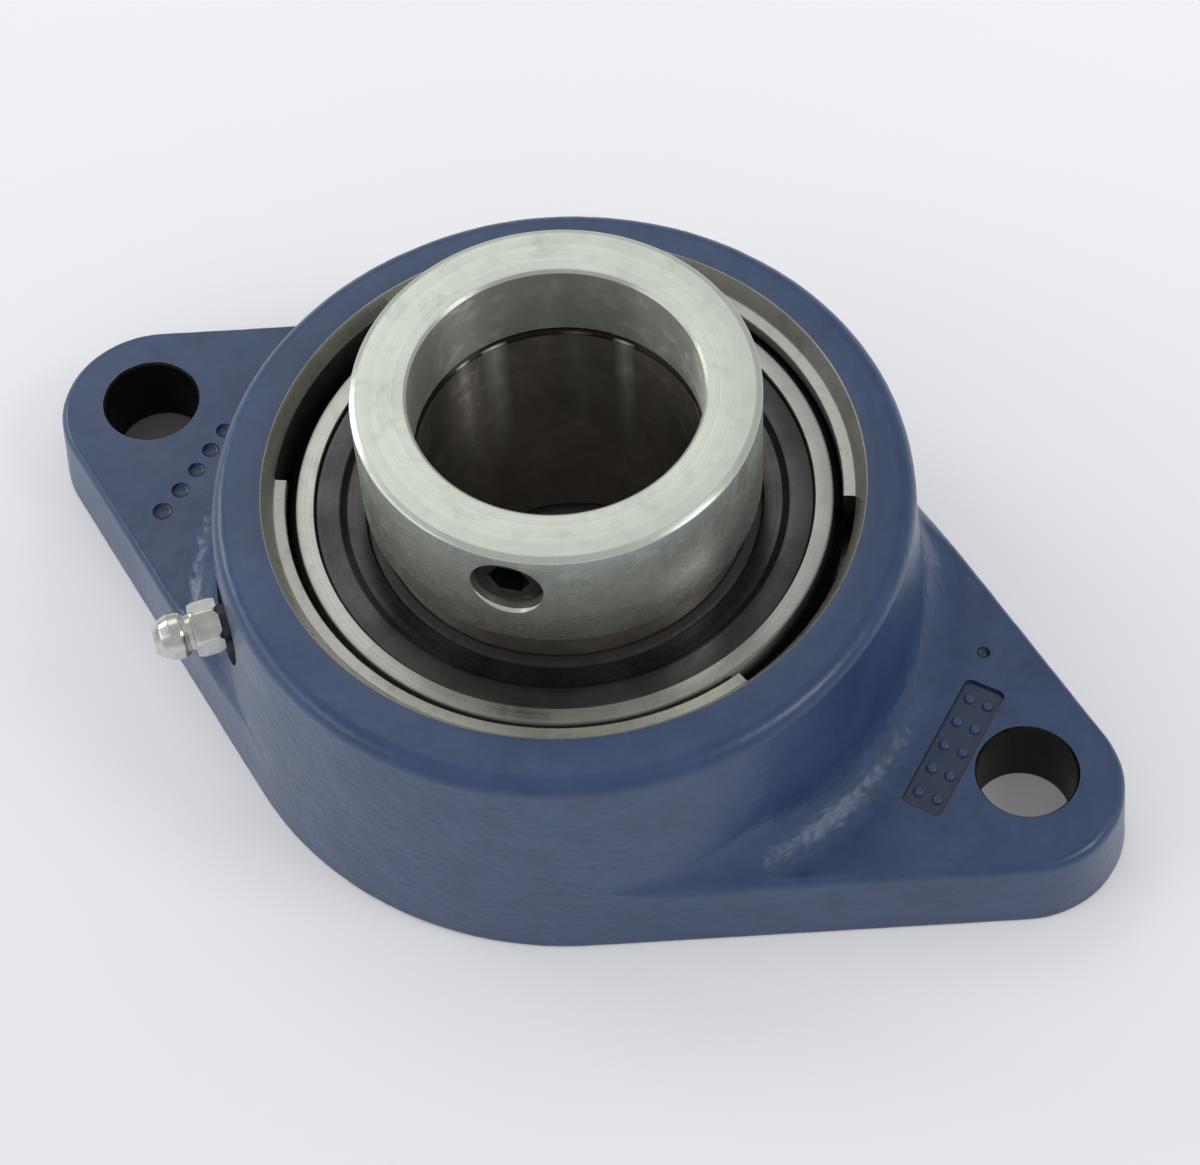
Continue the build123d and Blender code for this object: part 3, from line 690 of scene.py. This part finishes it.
def outer_curve(angle, wall_r, z_top):
    """Skin from under the rim to the skirt: r, z, roughness weight.
    wall_r is the boss wall's radius at z = 0."""
    wall = lambda z: wall_r - DRAFT * z
    width = float(outline(angle, DRAFT * FLANGE_T)) - float(wall(FLANGE_T))
    fillet = max(0.5, min(7.2, (0.97 - 0.25 * math.sin(angle)) * width + 0.5))
    z_fillet = FLANGE_T + fillet * (1 - math.sin(SLOPE))
    centre = (wall(z_fillet) + fillet * math.cos(SLOPE), FLANGE_T + fillet)
    foot = arc(centre, fillet, math.pi + SLOPE, 1.5 * math.pi, 41)
    flat = np.stack([np.linspace(centre[0], centre[0] + 60, 241)[1:],
                     np.full(240, FLANGE_T)], 1)
    # the upper skin ends where it crosses the outline
    upper = np.concatenate([foot, flat])
    beyond = upper[:, 0] - outline(angle, DRAFT * upper[:, 1])
    k = int(np.argmax(beyond > 0))
    if k == 0:
        corner = upper[0]
        upper = upper[:1]
    else:
        fraction = -beyond[k - 1] / (beyond[k] - beyond[k - 1])
        corner = upper[k - 1] + fraction * (upper[k] - upper[k - 1])
        upper = np.vstack([upper[:k], corner])
    heights = np.linspace(corner[1], SKIRT_R, 120)
    side = np.stack([outline(angle, DRAFT * heights), heights], 1)
    side[0] = corner
    upper, edge, side = soften_edge(upper, side, width)
    heights = np.linspace(z_top, z_fillet, 60)
    boss = np.stack([wall(heights), heights], 1)[:-1]
    points = np.vstack([boss, upper, edge, side])
    on_fillet = upper[:, 1] > FLANGE_T + 1e-6

    def per_part(boss_value, fillet_value, flat_value, edge_value, side_value):
        return np.concatenate([np.full(len(boss), boss_value),
                               np.where(on_fillet, fillet_value, flat_value),
                               np.full(len(edge), edge_value), np.full(len(side), side_value)])

    rough = per_part(1.0, 1.7, 1.15, 1.0, 0.9)
    density = per_part(1.0, 1.5, 0.9, 3.2, 1.0)
    distinct = np.r_[True, step_lengths(points) > 1e-7]
    table = np.column_stack([points, rough])[distinct]
    density = density[distinct]
    # the same number of points at every angle, closer where the density is higher
    steps = step_lengths(table[:, :2]) * (density[1:] + density[:-1]) / 2
    travel = np.r_[0, np.cumsum(steps)]
    stations = np.linspace(0, travel[-1], OUTER_POINTS)
    return np.stack([np.interp(stations, travel, column) for column in table.T], 1)


def housing_profile(angle):
    """Sections of the closed loop at an angle, in order; rows are r, z, roughness weight."""
    weighted = lambda points, weight=0.0: np.column_stack([points, np.full(len(points), weight)])
    seat_hi, seat_lo = SEAT_Z + 9.9, SEAT_Z - 10.6
    lo = math.asin((seat_lo - SEAT_Z) / SEAT_R)
    hi = math.asin((seat_hi - SEAT_Z) / SEAT_R)
    mouth = rounded([(SEAT_R * math.cos(hi), seat_hi, 0), (SEAT_R * math.cos(hi), 35.9, 0.2),
                     (40.5, 35.9, 0.3), (MOUTH_R, HOUSING_H, 0.3), (44.0, HOUSING_H, 0)],
                    closed=False)
    wall_r = float(ray_to_circle(angle, CAST_X, CAST_Y, BOSS_R))
    rim_z = HOUSING_H - RIM_R
    rim_x = wall_r - DRAFT * rim_z - RIM_R / math.cos(SLOPE)
    outer = outer_curve(angle, wall_r, rim_z + RIM_R * math.sin(SLOPE))
    skirt = arc((outer[-1, 0] - SKIRT_R, SKIRT_R), SKIRT_R, 0, -math.pi / 2, 5)[1:]
    back_r = 43.2
    rear = rounded([(back_r, 0, 0), (42.6, 0.0, 0.3), (39.6, 3.0, 0.5), (38.9, 12.6, 0.2),
                    (SEAT_R * math.cos(lo), seat_lo, 0)], 3, closed=False)
    return {
        "seat": weighted(arc((0, SEAT_Z), SEAT_R, lo, hi, 22)),
        "mouth": weighted(mouth[1:-3]),
        "lip": weighted(mouth[-3:]),
        "face": weighted(np.stack([np.linspace(44.6, rim_x, 9), np.full(9, HOUSING_H)], 1), 0.5),
        "rim": weighted(arc((rim_x, rim_z), RIM_R, math.pi / 2, SLOPE, 10)[1:-1], 0.7),
        "outer": outer,
        "skirt": weighted(skirt, 0.3),
        "bottom": weighted(np.stack([np.linspace(skirt[-1][0], back_r, 22)[1:],
                                     np.zeros(21)], 1)),
        "rear": weighted(rear[1:-1])}


# cast surface relief: amplitude (mm), frequency (per mm), offset of the noise
RELIEF = [(0.09, 0.055, Vector((0, 0, 0))), (0.050, 0.23, Vector((9, 3, 1))),
          (0.038, 0.75, Vector((3, 7, 5))), (0.030, 1.7, Vector((1, 8, 2)))]


def casting_body():
    """The housing before it is cut, with cast relief on its unmachined surfaces."""
    steps = 1000
    angles = round_angles(steps)
    profiles = [housing_profile(angle) for angle in angles]
    sections, start = {}, 0
    for name, points in profiles[0].items():
        sections[name] = slice(start, start + len(points))
        start += len(points)
    grid = np.array([np.concatenate(list(profile.values())) for profile in profiles])
    r, z, weight = grid[..., 0], grid[..., 1], grid[..., 2]
    columns = grid.shape[1]
    d = np.stack([np.roll(r, -1, 1) - np.roll(r, 1, 1),
                  np.roll(z, -1, 1) - np.roll(z, 1, 1)], -1)
    length = np.maximum(np.linalg.norm(d, axis=-1, keepdims=True), 1e-9)
    normal = np.stack([-d[..., 1], d[..., 0]], -1) / length
    if normal[0, sections["outer"].start + 8, 0] < 0:
        normal = -normal
    for _ in range(3):
        weight = 0.25 * np.roll(weight, 1, 1) + 0.5 * weight + 0.25 * np.roll(weight, -1, 1)
    for name in ("seat", "mouth", "lip", "bottom", "rear"):
        weight[:, sections[name]] = 0
    points, weights = ring_vertices(r, z, angles), weight.reshape(-1)
    relief = np.zeros(len(points))
    for i in np.nonzero(weights > 0.01)[0]:
        p = Vector(points[i])
        relief[i] = sum(size * noise.noise(p * freq + offset) for size, freq, offset in RELIEF)
    relief = (relief * weights).reshape(steps, columns)
    verts = ring_vertices(r + relief * normal[..., 0],
                          np.maximum(z + relief * normal[..., 1], 0), angles)
    finish = np.zeros(columns, int)
    for name, index in (("seat", 2), ("mouth", 1), ("bottom", 3), ("rear", 3)):
        finish[sections[name]] = index
    finish[sections["seat"].stop - 1] = 1
    finish[sections["rear"].stop - 1] = 2
    return new_obj("housing_casting", verts, ring_faces(verts, steps, columns),
                   (PAINT, MOUTH, SEAT, BACK, CAST, DRILLED, SHADED_PAINT), 35, np.tile(finish, steps))


def bolt_cutter(side):
    """Bolt hole with a light break at each edge."""
    hole = BOLT_HOLE_R
    cutter = disc_solid("cut_bolt", [
        (0, -3), (hole + 1.2, -3), (hole + 0.9, -0.9), (hole + 0.9, -0.5), (hole, 0.4),
        (hole, FLANGE_T - 0.4), (hole + 0.3, FLANGE_T), (hole + 0.4, FLANGE_T + 1.7),
        (0, FLANGE_T + 1.7)], 96, DRILLED)
    return shift(cutter, side * BOLT_X, 0, 0)


def notch_cutter(side):
    """Loading notch with small corner radii; side is its direction along X."""
    inside_r, corner_r = 34, 0.9
    half = math.radians(NOTCH_HALF_DEG)
    wall = unrounded((NOTCH_R * math.cos(a), NOTCH_R * math.sin(a))
                     for a in np.linspace(-half, half, 44))
    for i in (0, -1):
        wall[i] = (*wall[i][:2], corner_r)
    points = [(inside_r * math.cos(-half), inside_r * math.sin(-half), 0), *wall,
              (inside_r * math.cos(half), inside_r * math.sin(half), 0)]
    return prism("cut_notch", side * rounded(points, 3), SEAT_Z, HOUSING_H + 4, CAST)


def nipple_cutter():
    """Spot face, threaded entry and passage for the grease nipple."""
    cutter = disc_solid("cut_spot", [(0, -14), (2.5, -14), (2.5, -6.2), (3.0, -6.2),
                                     (3.0, -1.1), (6.2, -1.1), (6.2, 8), (0, 8)], 72, SHADED_PAINT)
    return place(cutter, NIPPLE_AZ, NIPPLE_Z, NIPPLE_FACE_R)


def dimple_cutter(x, y, radius):
    cutter = disc_solid("cut_dimple", [
        (0, 0), (radius * 0.55, 0.06), (radius * 0.82, 0.22), (radius * 0.98, 0.5),
        (radius * 1.12, 1.2), (0, 1.2)], 28, SHADED_PAINT)
    return shift(cutter, x, y, PANEL_Z)


def pip(x, y):
    """Raised mark with a rounded top."""
    steps = 5
    levels = [(0, PANEL_Z - 0.8)]  # inset, height
    for q in range(steps + 1):
        a = q / steps * math.pi / 2
        levels.append((PIP_TOP * (1 - math.cos(a)),
                       PANEL_Z + PIP_TOP - PIP_TOP * (1 - math.sin(a))))
    verts = []
    for inset, z in levels:
        size = PIP_SIZE - 2 * inset
        loop = rounded_rectangle(x, y, size, size, PIP_SIZE / 2 - 0.02 - inset, 4)
        verts += [(px, py, z) for px, py in loop]
    walls, ends = tube_faces(len(levels), len(loop))
    return new_obj("pip", verts, walls + ends, (PAINT,))


def build_housing():
    housing = casting_body()
    cutters = [bolt_cutter(side) for side in (-1, 1)]
    cutters += [notch_cutter(side) for side in (1, -1)]
    cutters.append(nipple_cutter())
    panel = rounded_rectangle(*PANEL_CENTRE, *PANEL_SIZE, 1.0, 5)
    cutters.append(prism("cut_panel", panel, PANEL_Z, FLANGE_T + 0.6, SHADED_PAINT, grow=0.35))
    cutters += [dimple_cutter(*dimple) for dimple in DIMPLES]
    boolean(housing, cutters)
    boolean(housing, [pip(x, y) for x, y in PIPS], "UNION")
    clean(housing, 34)
    register(housing, "housing", "housing")


build_housing()


# ---------------------------------------------------------------- bearing rings
def ball_groove(centre_r, shoulder_r):
    """Half width of a ball groove, and half the angle it spans about its centre."""
    offset = abs(shoulder_r - centre_r)
    half = math.sqrt(GROOVE_R ** 2 - offset ** 2)
    return half, math.atan2(half, offset)


def outer_ring_profile():
    """r, z, corner radius."""
    end_z = OUTER_W / 2 - 1.0
    end_r = math.sqrt(SPHERE_R ** 2 - end_z ** 2)
    end = math.asin(end_z / SPHERE_R)
    groove_c = PITCH_R + GROOVE_REACH - GROOVE_R
    half, span = ball_groove(groove_c, OUTER_SHOULDER_R)
    oil_lo, oil_hi = (math.asin((z - SEAT_Z) / SPHERE_R) for z in OIL_GROOVE_Z)
    centre = (0, SEAT_Z)
    return [
        (OUTER_FACE_R, FACE_LO, 0.25), (SEAL_SEAT_R + 0.15, FACE_LO, 0),
        (SEAL_SEAT_R, FACE_LO + 0.15, 0), (SEAL_SEAT_R, FACE_LO + SEAL_SEAT_DEPTH, 0),
        (OUTER_SHOULDER_R, FACE_LO + SEAL_SEAT_DEPTH, 0), (OUTER_SHOULDER_R, SEAT_Z - half, 0),
        *unrounded(arc((groove_c, SEAT_Z), GROOVE_R, -span, span, 25)[1:-1]),
        (OUTER_SHOULDER_R, SEAT_Z + half, 0), (OUTER_SHOULDER_R, FACE_HI - SEAL_SEAT_DEPTH, 0),
        (SEAL_SEAT_R, FACE_HI - SEAL_SEAT_DEPTH, 0), (SEAL_SEAT_R, FACE_HI - 0.15, 0),
        (SEAL_SEAT_R + 0.15, FACE_HI, 0), (OUTER_FACE_R, FACE_HI, 0.3),
        (end_r, FACE_HI - 1.0, 0.3),
        *unrounded(arc(centre, SPHERE_R, end, oil_hi, 6)[1:]),
        (OIL_GROOVE_R, OIL_GROOVE_Z[1], 0), (OIL_GROOVE_R, OIL_GROOVE_Z[0], 0),
        *unrounded(arc(centre, SPHERE_R, oil_lo, -end, 24)[:-1]),
        (end_r, FACE_LO + 1.0, 0.3)]


def build_outer_ring():
    ring = lathe("outer_ring_ground", outer_ring_profile(), 360, (RING,), segments=3)
    holes = [place(disc_solid("cut_oil", [(0, -6), (1.0, -6), (1.0, 6), (0, 6)], 32, RING),
                   azimuth, OIL_HOLE_Z, 36) for azimuth in (45, 225)]
    clean(boolean(ring, holes))
    register(ring, "outer_ring", "outer_ring")


def eccentric_r(angle, radius):
    """Distance from the shaft axis to a circle shifted along X by the eccentricity."""
    return (ECCENTRICITY * math.cos(angle)
            + math.sqrt(radius * radius - (ECCENTRICITY * math.sin(angle)) ** 2))


def inner_profile(angle):
    groove_c = PITCH_R - GROOVE_REACH + GROOVE_R
    half, span = ball_groove(groove_c, INNER_R)
    stub = eccentric_r(angle, STUB_R)
    return rounded([
        (SHAFT_R, INNER_Z0 + 0.6, 0.15), (SHAFT_R + 0.6, INNER_Z0, 0.15),
        (INNER_R - 0.8, INNER_Z0, 0.25), (INNER_R, INNER_Z0 + 0.8, 0.25),
        (INNER_R, SEAT_Z - half, 0),
        *unrounded(arc((groove_c, SEAT_Z), GROOVE_R, math.pi + span, math.pi - span, 21)[1:-1]),
        (INNER_R, SEAT_Z + half, 0), (INNER_R, STUB_Z - 0.2, 0.08),
        (INNER_R - 0.2, STUB_Z, 0.08), (stub, STUB_Z, 0), (stub, INNER_Z1 - 0.5, 0.12),
        (stub - 0.5, INNER_Z1, 0.12), (SHAFT_R + 0.5, INNER_Z1, 0.12),
        (SHAFT_R, INNER_Z1 - 0.5, 0.12)], 3)


build_outer_ring()
register(lathe("inner_ring_ground", inner_profile, 320, (INNER,)),
         "inner_ring", "inner_ring")

# ---------------------------------------------------------------- seals
# front seal sections: r, z, corner radius; the rear ones mirror them about the seat centre
SHIELD_SECTION = [
    (34.9, 32.5, 0), (34.9, 33.95, 0.38), (31.4, 33.95, 0.5), (30.45, 33.3, 0.45),
    (27.8, 33.3, 0.15), (27.8, 32.85, 0), (30.3, 32.85, 0.2), (31.25, 33.5, 0.2),
    (34.4, 33.5, 0), (34.4, 32.5, 0)]
LIP_SECTION = [
    (34.4, 32.15, 0), (34.4, 33.5, 0), (31.25, 33.5, 0.2), (30.3, 32.85, 0.2),
    (27.75, 32.85, 0), (27.2, 33.25, 0.3), (26.3, 33.6, 0.15), (25.95, 33.6, 0.1),
    (25.95, 33.35, 0.1), (26.7, 32.7, 0.3), (27.4, 32.15, 0)]
WASHER_SECTION = [
    (28.0, 31.7, 0), (34.9, 31.7, 0), (34.9, 32.5, 0), (34.4, 32.5, 0), (34.4, 32.15, 0),
    (28.0, 32.15, 0)]

for side in ("front", "rear"):
    for piece, section, material, slot in (("shield", SHIELD_SECTION, SHIELD, "seal_steel"),
                                           ("lip", LIP_SECTION, RUBBER, "seal_rubber"),
                                           ("washer", WASHER_SECTION, WASHER, "seal_steel")):
        if side == "rear":
            section = [(r, 2 * SEAT_Z - z, radius) for r, z, radius in section]
        register(lathe(f"{side}_{piece}", section, 300, (material,)),
                 "outer_ring", f"{side}_seal_{piece}")


# ---------------------------------------------------------------- locking collar
def collar_profile(angle):
    recess = eccentric_r(angle, STUB_R + STUB_GAP)
    return rounded([
        (SHAFT_R, COLLAR_Z1 - 0.4, 0.12), (SHAFT_R + 0.4, COLLAR_Z1, 0.12),
        (COLLAR_R - 0.85, COLLAR_Z1, 0.3), (COLLAR_R, COLLAR_Z1 - 0.4, 0.3),
        (COLLAR_R, COLLAR_Z0 + 0.6, 0.2), (COLLAR_R - 0.6, COLLAR_Z0, 0.15),
        (recess + 0.3, COLLAR_Z0, 0), (recess, COLLAR_Z0 + 0.3, 0), (recess, RECESS_Z, 0.15),
        (SHAFT_R + 0.4, RECESS_Z, 0.1), (SHAFT_R, RECESS_Z + 0.4, 0.1)])


def build_collar():
    collar = lathe("collar_turned", collar_profile, 360, (COLLAR, BLACK))
    flare_z = COLLAR_R - 0.45 - SCREW_CUT_FROM
    screw_hole = disc_solid("cut_screw", [
        (0, -5), (SCREW_R, -5), (SCREW_R, flare_z), (SCREW_R + 1.2, flare_z + 1.2),
        (SCREW_R + 1.2, 16), (0, 16)], 80, COLLAR)
    place(screw_hole, SCREW_AZ, SCREW_Z, SCREW_CUT_FROM)
    # blind drift hole opposite the screw
    drift_hole = disc_solid("cut_drift", [
        (0, COLLAR_R - 3.6), (3.0, COLLAR_R - 3.6), (3.0, COLLAR_R - 0.25),
        (3.8, COLLAR_R + 0.6), (3.8, COLLAR_R + 3), (0, COLLAR_R + 3)], 64, COLLAR)
    place(drift_hole, SCREW_AZ + 180, DRIFT_Z, 0)
    clean(boolean(collar, [screw_hole, drift_hole]))
    register(collar, "locking_collar", "locking_collar")


def thread(root, crest, start, pitch, turns, rises):
    """(r, z) of ring-shaped threads: root, two crest points and root, at the given rises."""
    return [(r, start + pitch * i + rise) for i in range(turns)
            for r, rise in zip((root, crest, crest, root), rises)]


def build_screw():
    """Set screw with a hexagon socket."""
    profile = [(0, 1.0), (1.9, 0.25), (2.6, 0.0), (4.35, 0.0), (4.6, 0.25),
               *thread(root=4.55, crest=4.95, start=0.55, pitch=0.8, turns=6,
                       rises=(0, 0.25, 0.35, 0.6)),
               (4.5, 5.6), (4.15, 6.0), (0, 6.0)]
    screw = disc_solid("set_screw", profile, 72, BLACK, sharp_angle=50)
    # radii across the flats; the six corners lie further out
    flats = [(0, 2.2), (2.5, 2.8), (2.5, 5.7), (3.0, 6.2), (3.0, 7), (0, 7)]
    socket = disc_solid("cut_hex", [(r / math.cos(math.pi / 6), z) for r, z in flats], 6,
                        BLACK, sharp_angle=20)
    clean(boolean(screw, [socket]), 30)
    place(screw, SCREW_AZ, SCREW_Z, 20.3)
    register(screw, "collar_set_screw", "collar_set_screw")


build_collar()
build_screw()

# ---------------------------------------------------------------- grease nipple
HEX_FLAT_R = 3.5
HEX_HEIGHTS = [0.9, 1.0, 1.1, 1.25, 1.4, 1.6, 1.8, 2.2, 2.7, 3.3, 3.6, 3.9, 4.2, 4.45, 4.65,
               4.8, 4.9]
SHANK_TOP = 0.85                 # darker and rougher below this height
SPRING_SEAT = 2.6                # height of the spring's foot in the nipple


def nipple_profile(angle):
    sector = (angle + math.pi / 6) % (math.pi / 3) - math.pi / 6
    hexagon = HEX_FLAT_R / math.cos(sector)
    points = [(0.8, -5.8), (2.4, -5.8),
              *thread(root=2.62, crest=2.97, start=-5.5, pitch=0.75, turns=7,
                      rises=(0, 0.2, 0.3, 0.5)),
              (2.6, -0.5), (2.6, 0.9)]
    for z in HEX_HEIGHTS:
        # corners turned down to a barrel at both ends of the hexagon
        barrel = 3.95 - 0.30 * max(0, 1.8 - z) ** 2 - 0.22 * max(0, z - 3.7) ** 2
        inward = min(1.0, (HEX_HEIGHTS[-1] - z) / 0.5)
        shoulder = 3.2 + 0.8 * math.sqrt(max(0, 1 - (1 - inward) ** 2))
        points.append((min(hexagon, barrel, shoulder), z))
    return rounded(unrounded(points) + [
        (2.6, 4.95, 0.1), (2.6, 5.6, 0.25), (3.2, 6.1, 0.3), (3.35, 6.6, 0.4), (3.35, 7.9, 0.8),
        (2.75, 9.3, 0.8), (1.75, 10.4, 0.25), (0.95, 10.4, 0.08), (0.85, 10.2, 0),
        (0.85, 9.45, 0), (1.35, 9.0, 0), (1.35, SPRING_SEAT, 0), (0.8, 2.4, 0)])


def build_nipple():
    nipple = lathe("nipple_body", nipple_profile, 144, (ZINC, SHANK), sharp_angle=30)
    for face in nipple.data.polygons:
        face.material_index = 1 if face.center.z < SHANK_TOP * MM else 0
    place(nipple, NIPPLE_AZ, NIPPLE_Z, NIPPLE_FACE_R)
    register(nipple, "housing", "grease_nipple")


def build_spring():
    """Valve spring under the check ball."""
    turns, pitch, coil_r, wire_r = 5, 1.0, 1.0, 0.14
    per_turn, sides = 28, 10
    loops = turns * per_turn + 1
    verts = []
    for i in range(loops):
        t = i / per_turn * 2 * math.pi
        z = SPRING_SEAT + 0.02 + wire_r + pitch * i / per_turn
        for k in range(sides):
            a = 2 * math.pi * k / sides
            r = coil_r + wire_r * math.cos(a)
            verts.append((r * math.cos(t), r * math.sin(t), z + wire_r * math.sin(a)))
    walls, ends = tube_faces(loops, sides)
    spring = new_obj("valve_spring", verts, [f[::-1] for f in walls + ends], (SPRING,), 50)
    place(spring, NIPPLE_AZ, NIPPLE_Z, NIPPLE_FACE_R)
    register(spring, "housing", "nipple_spring")
    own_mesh(spring)


build_nipple()
build_spring()

# ---------------------------------------------------------------- CAD pieces kept as they are
kept = {"cage_front_half": CAGE, "cage_rear_half": CAGE, "cage_rivets": CAGE,
        "nipple_check_ball": BALL, **{f"ball_{i}": BALL for i in range(1, 10)}}
for name, material in kept.items():
    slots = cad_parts[name].data.materials
    slots.clear()
    slots.append(material)


# ---------------------------------------------------------------- floor, light, camera
def floor_material():
    """Pale floor with a faint sloping glow, painted light that also lights the part, and painted
    shadow where seen through the holes.
    """
    mat = Shader("pale_floor")
    cloud = mat.noise(scale=3, detail=3, rough=0.5)
    base = mat.mix(mat.remap(cloud), under=(0.80, 0.80, 0.815), over=(0.82, 0.82, 0.835))
    x, y, _ = mat.xyz()
    # painted light: the glow grows along one floor direction and, more weakly, across it
    along = mat.add(mat.times(x, -0.52), mat.times(y, 0.854))
    across = mat.add(mat.times(x, 0.854), mat.times(y, 0.52))
    glow = mat.add(mat.remap(along, span=(-0.16, 0.16), to=(0.14, 0.22)),
                   mat.remap(across, span=(-0.1, 0.1), to=(-0.01, 0.03)))
    shade = None
    # centre x (mm), radius (m) and strength of the painted shadow discs
    for disc_x, radius, strength in ((BOLT_X, 0.012, 0.5), (-BOLT_X, 0.012, 1.0),
                                     (0, 0.043, 1.0)):
        away = mat.hypot(mat.calc("SUBTRACT", x, disc_x * MM), y)
        disc = mat.remap(away, span=(radius, radius + 0.001), to=(strength, 0))
        shade = disc if shade is None else mat.calc("MAXIMUM", shade, disc)
    return mat.surface(color=mat.mix(shade, base, over=(0.34, 0.31, 0.31)), rough=0.8,
                       spec=0.15, glow_color=(0.97, 0.98, 1.0, 1),
                       glow=mat.times(glow, mat.remap(shade, span=(0, 1), to=(1, 0))))


def build_floor():
    material = floor_material()
    bm = bmesh.new()
    bmesh.ops.create_grid(bm, x_segments=1, y_segments=1, size=3.0)
    mesh = bpy.data.meshes.new("floor")
    bm.to_mesh(mesh)
    bm.free()
    floor = bpy.data.objects.new("floor", mesh)
    floor.location = (0, 0, -0.0001)
    mesh.materials.append(material)
    scene.collection.objects.link(floor)


def build_world():
    world = bpy.data.worlds.new("studio")
    scene.world = world
    world.use_nodes = True
    tree = world.node_tree
    tree.nodes.clear()
    output = tree.nodes.new("ShaderNodeOutputWorld")
    background = tree.nodes.new("ShaderNodeBackground")
    background.inputs["Color"].default_value = (0.96, 0.97, 1.0, 1)
    background.inputs["Strength"].default_value = 0.56
    tree.links.new(background.outputs[0], output.inputs[0])


def area_light(name, azimuth, elevation, distance, size, radiance):
    """Rectangular lamp seen from the part at that azimuth and elevation."""
    light = bpy.data.lights.new(name, "AREA")
    light.shape = "RECTANGLE"
    light.size, light.size_y = size
    light.energy = radiance * math.pi * size[0] * size[1]
    obj = bpy.data.objects.new(name, light)
    a, e = math.radians(azimuth), math.radians(elevation)
    offset = Vector((math.cos(e) * math.cos(a), math.cos(e) * math.sin(a), math.sin(e)))
    offset *= distance
    obj.location = offset + Vector((0, 0, 0.03))
    obj.rotation_mode = "QUATERNION"
    obj.rotation_quaternion = (-offset).to_track_quat("-Z", "Y")
    scene.collection.objects.link(obj)


# name, azimuth, elevation (degrees), distance, size (m), radiance
LAMPS = [("back", 136, 50, 1.5, (0.75, 0.7), 0.95),
         ("front", -140, 28, 1.2, (0.9, 0.5), 1.5),
         ("left", 179, 25, 1.2, (0.45, 0.3), 5.2),
         ("right", 8, 42, 1.2, (0.4, 0.4), 4.6)]
CAMERA_AZ, CAMERA_EL, CAMERA_ROLL = -58.702, 56.693, -4.043
ORIGIN_SEEN = (-3.679, -6.503, -501.461)  # the part's origin in the camera's axes, mm


def build_camera():
    camera = bpy.data.cameras.new("camera")
    camera.sensor_fit = "HORIZONTAL"
    camera.sensor_width = 36.0
    camera.lens = 101.72838
    camera.clip_start, camera.clip_end = 0.01, 20
    obj = bpy.data.objects.new("camera", camera)
    a, e, roll = (math.radians(v) for v in (CAMERA_AZ, CAMERA_EL, CAMERA_ROLL))
    back = np.array([math.cos(e) * math.cos(a), math.cos(e) * math.sin(a), math.sin(e)])
    right = np.array([-math.sin(a), math.cos(a), 0.0])
    cos, sin = math.cos(roll), math.sin(roll)
    roll_matrix = np.array([[cos, sin, 0], [-sin, cos, 0], [0, 0, 1]])
    axes = roll_matrix @ np.stack([right, np.cross(back, right), back])
    matrix = Matrix([list(row) for row in axes.T]).to_4x4()
    matrix.translation = Vector(-axes.T @ np.array(ORIGIN_SEEN) * MM)
    obj.matrix_world = matrix
    scene.collection.objects.link(obj)
    scene.camera = obj


build_floor()
build_world()
for lamp in LAMPS:
    area_light(*lamp)
build_camera()
scene.view_settings.view_transform = "Standard"
scene.view_settings.look = "None"
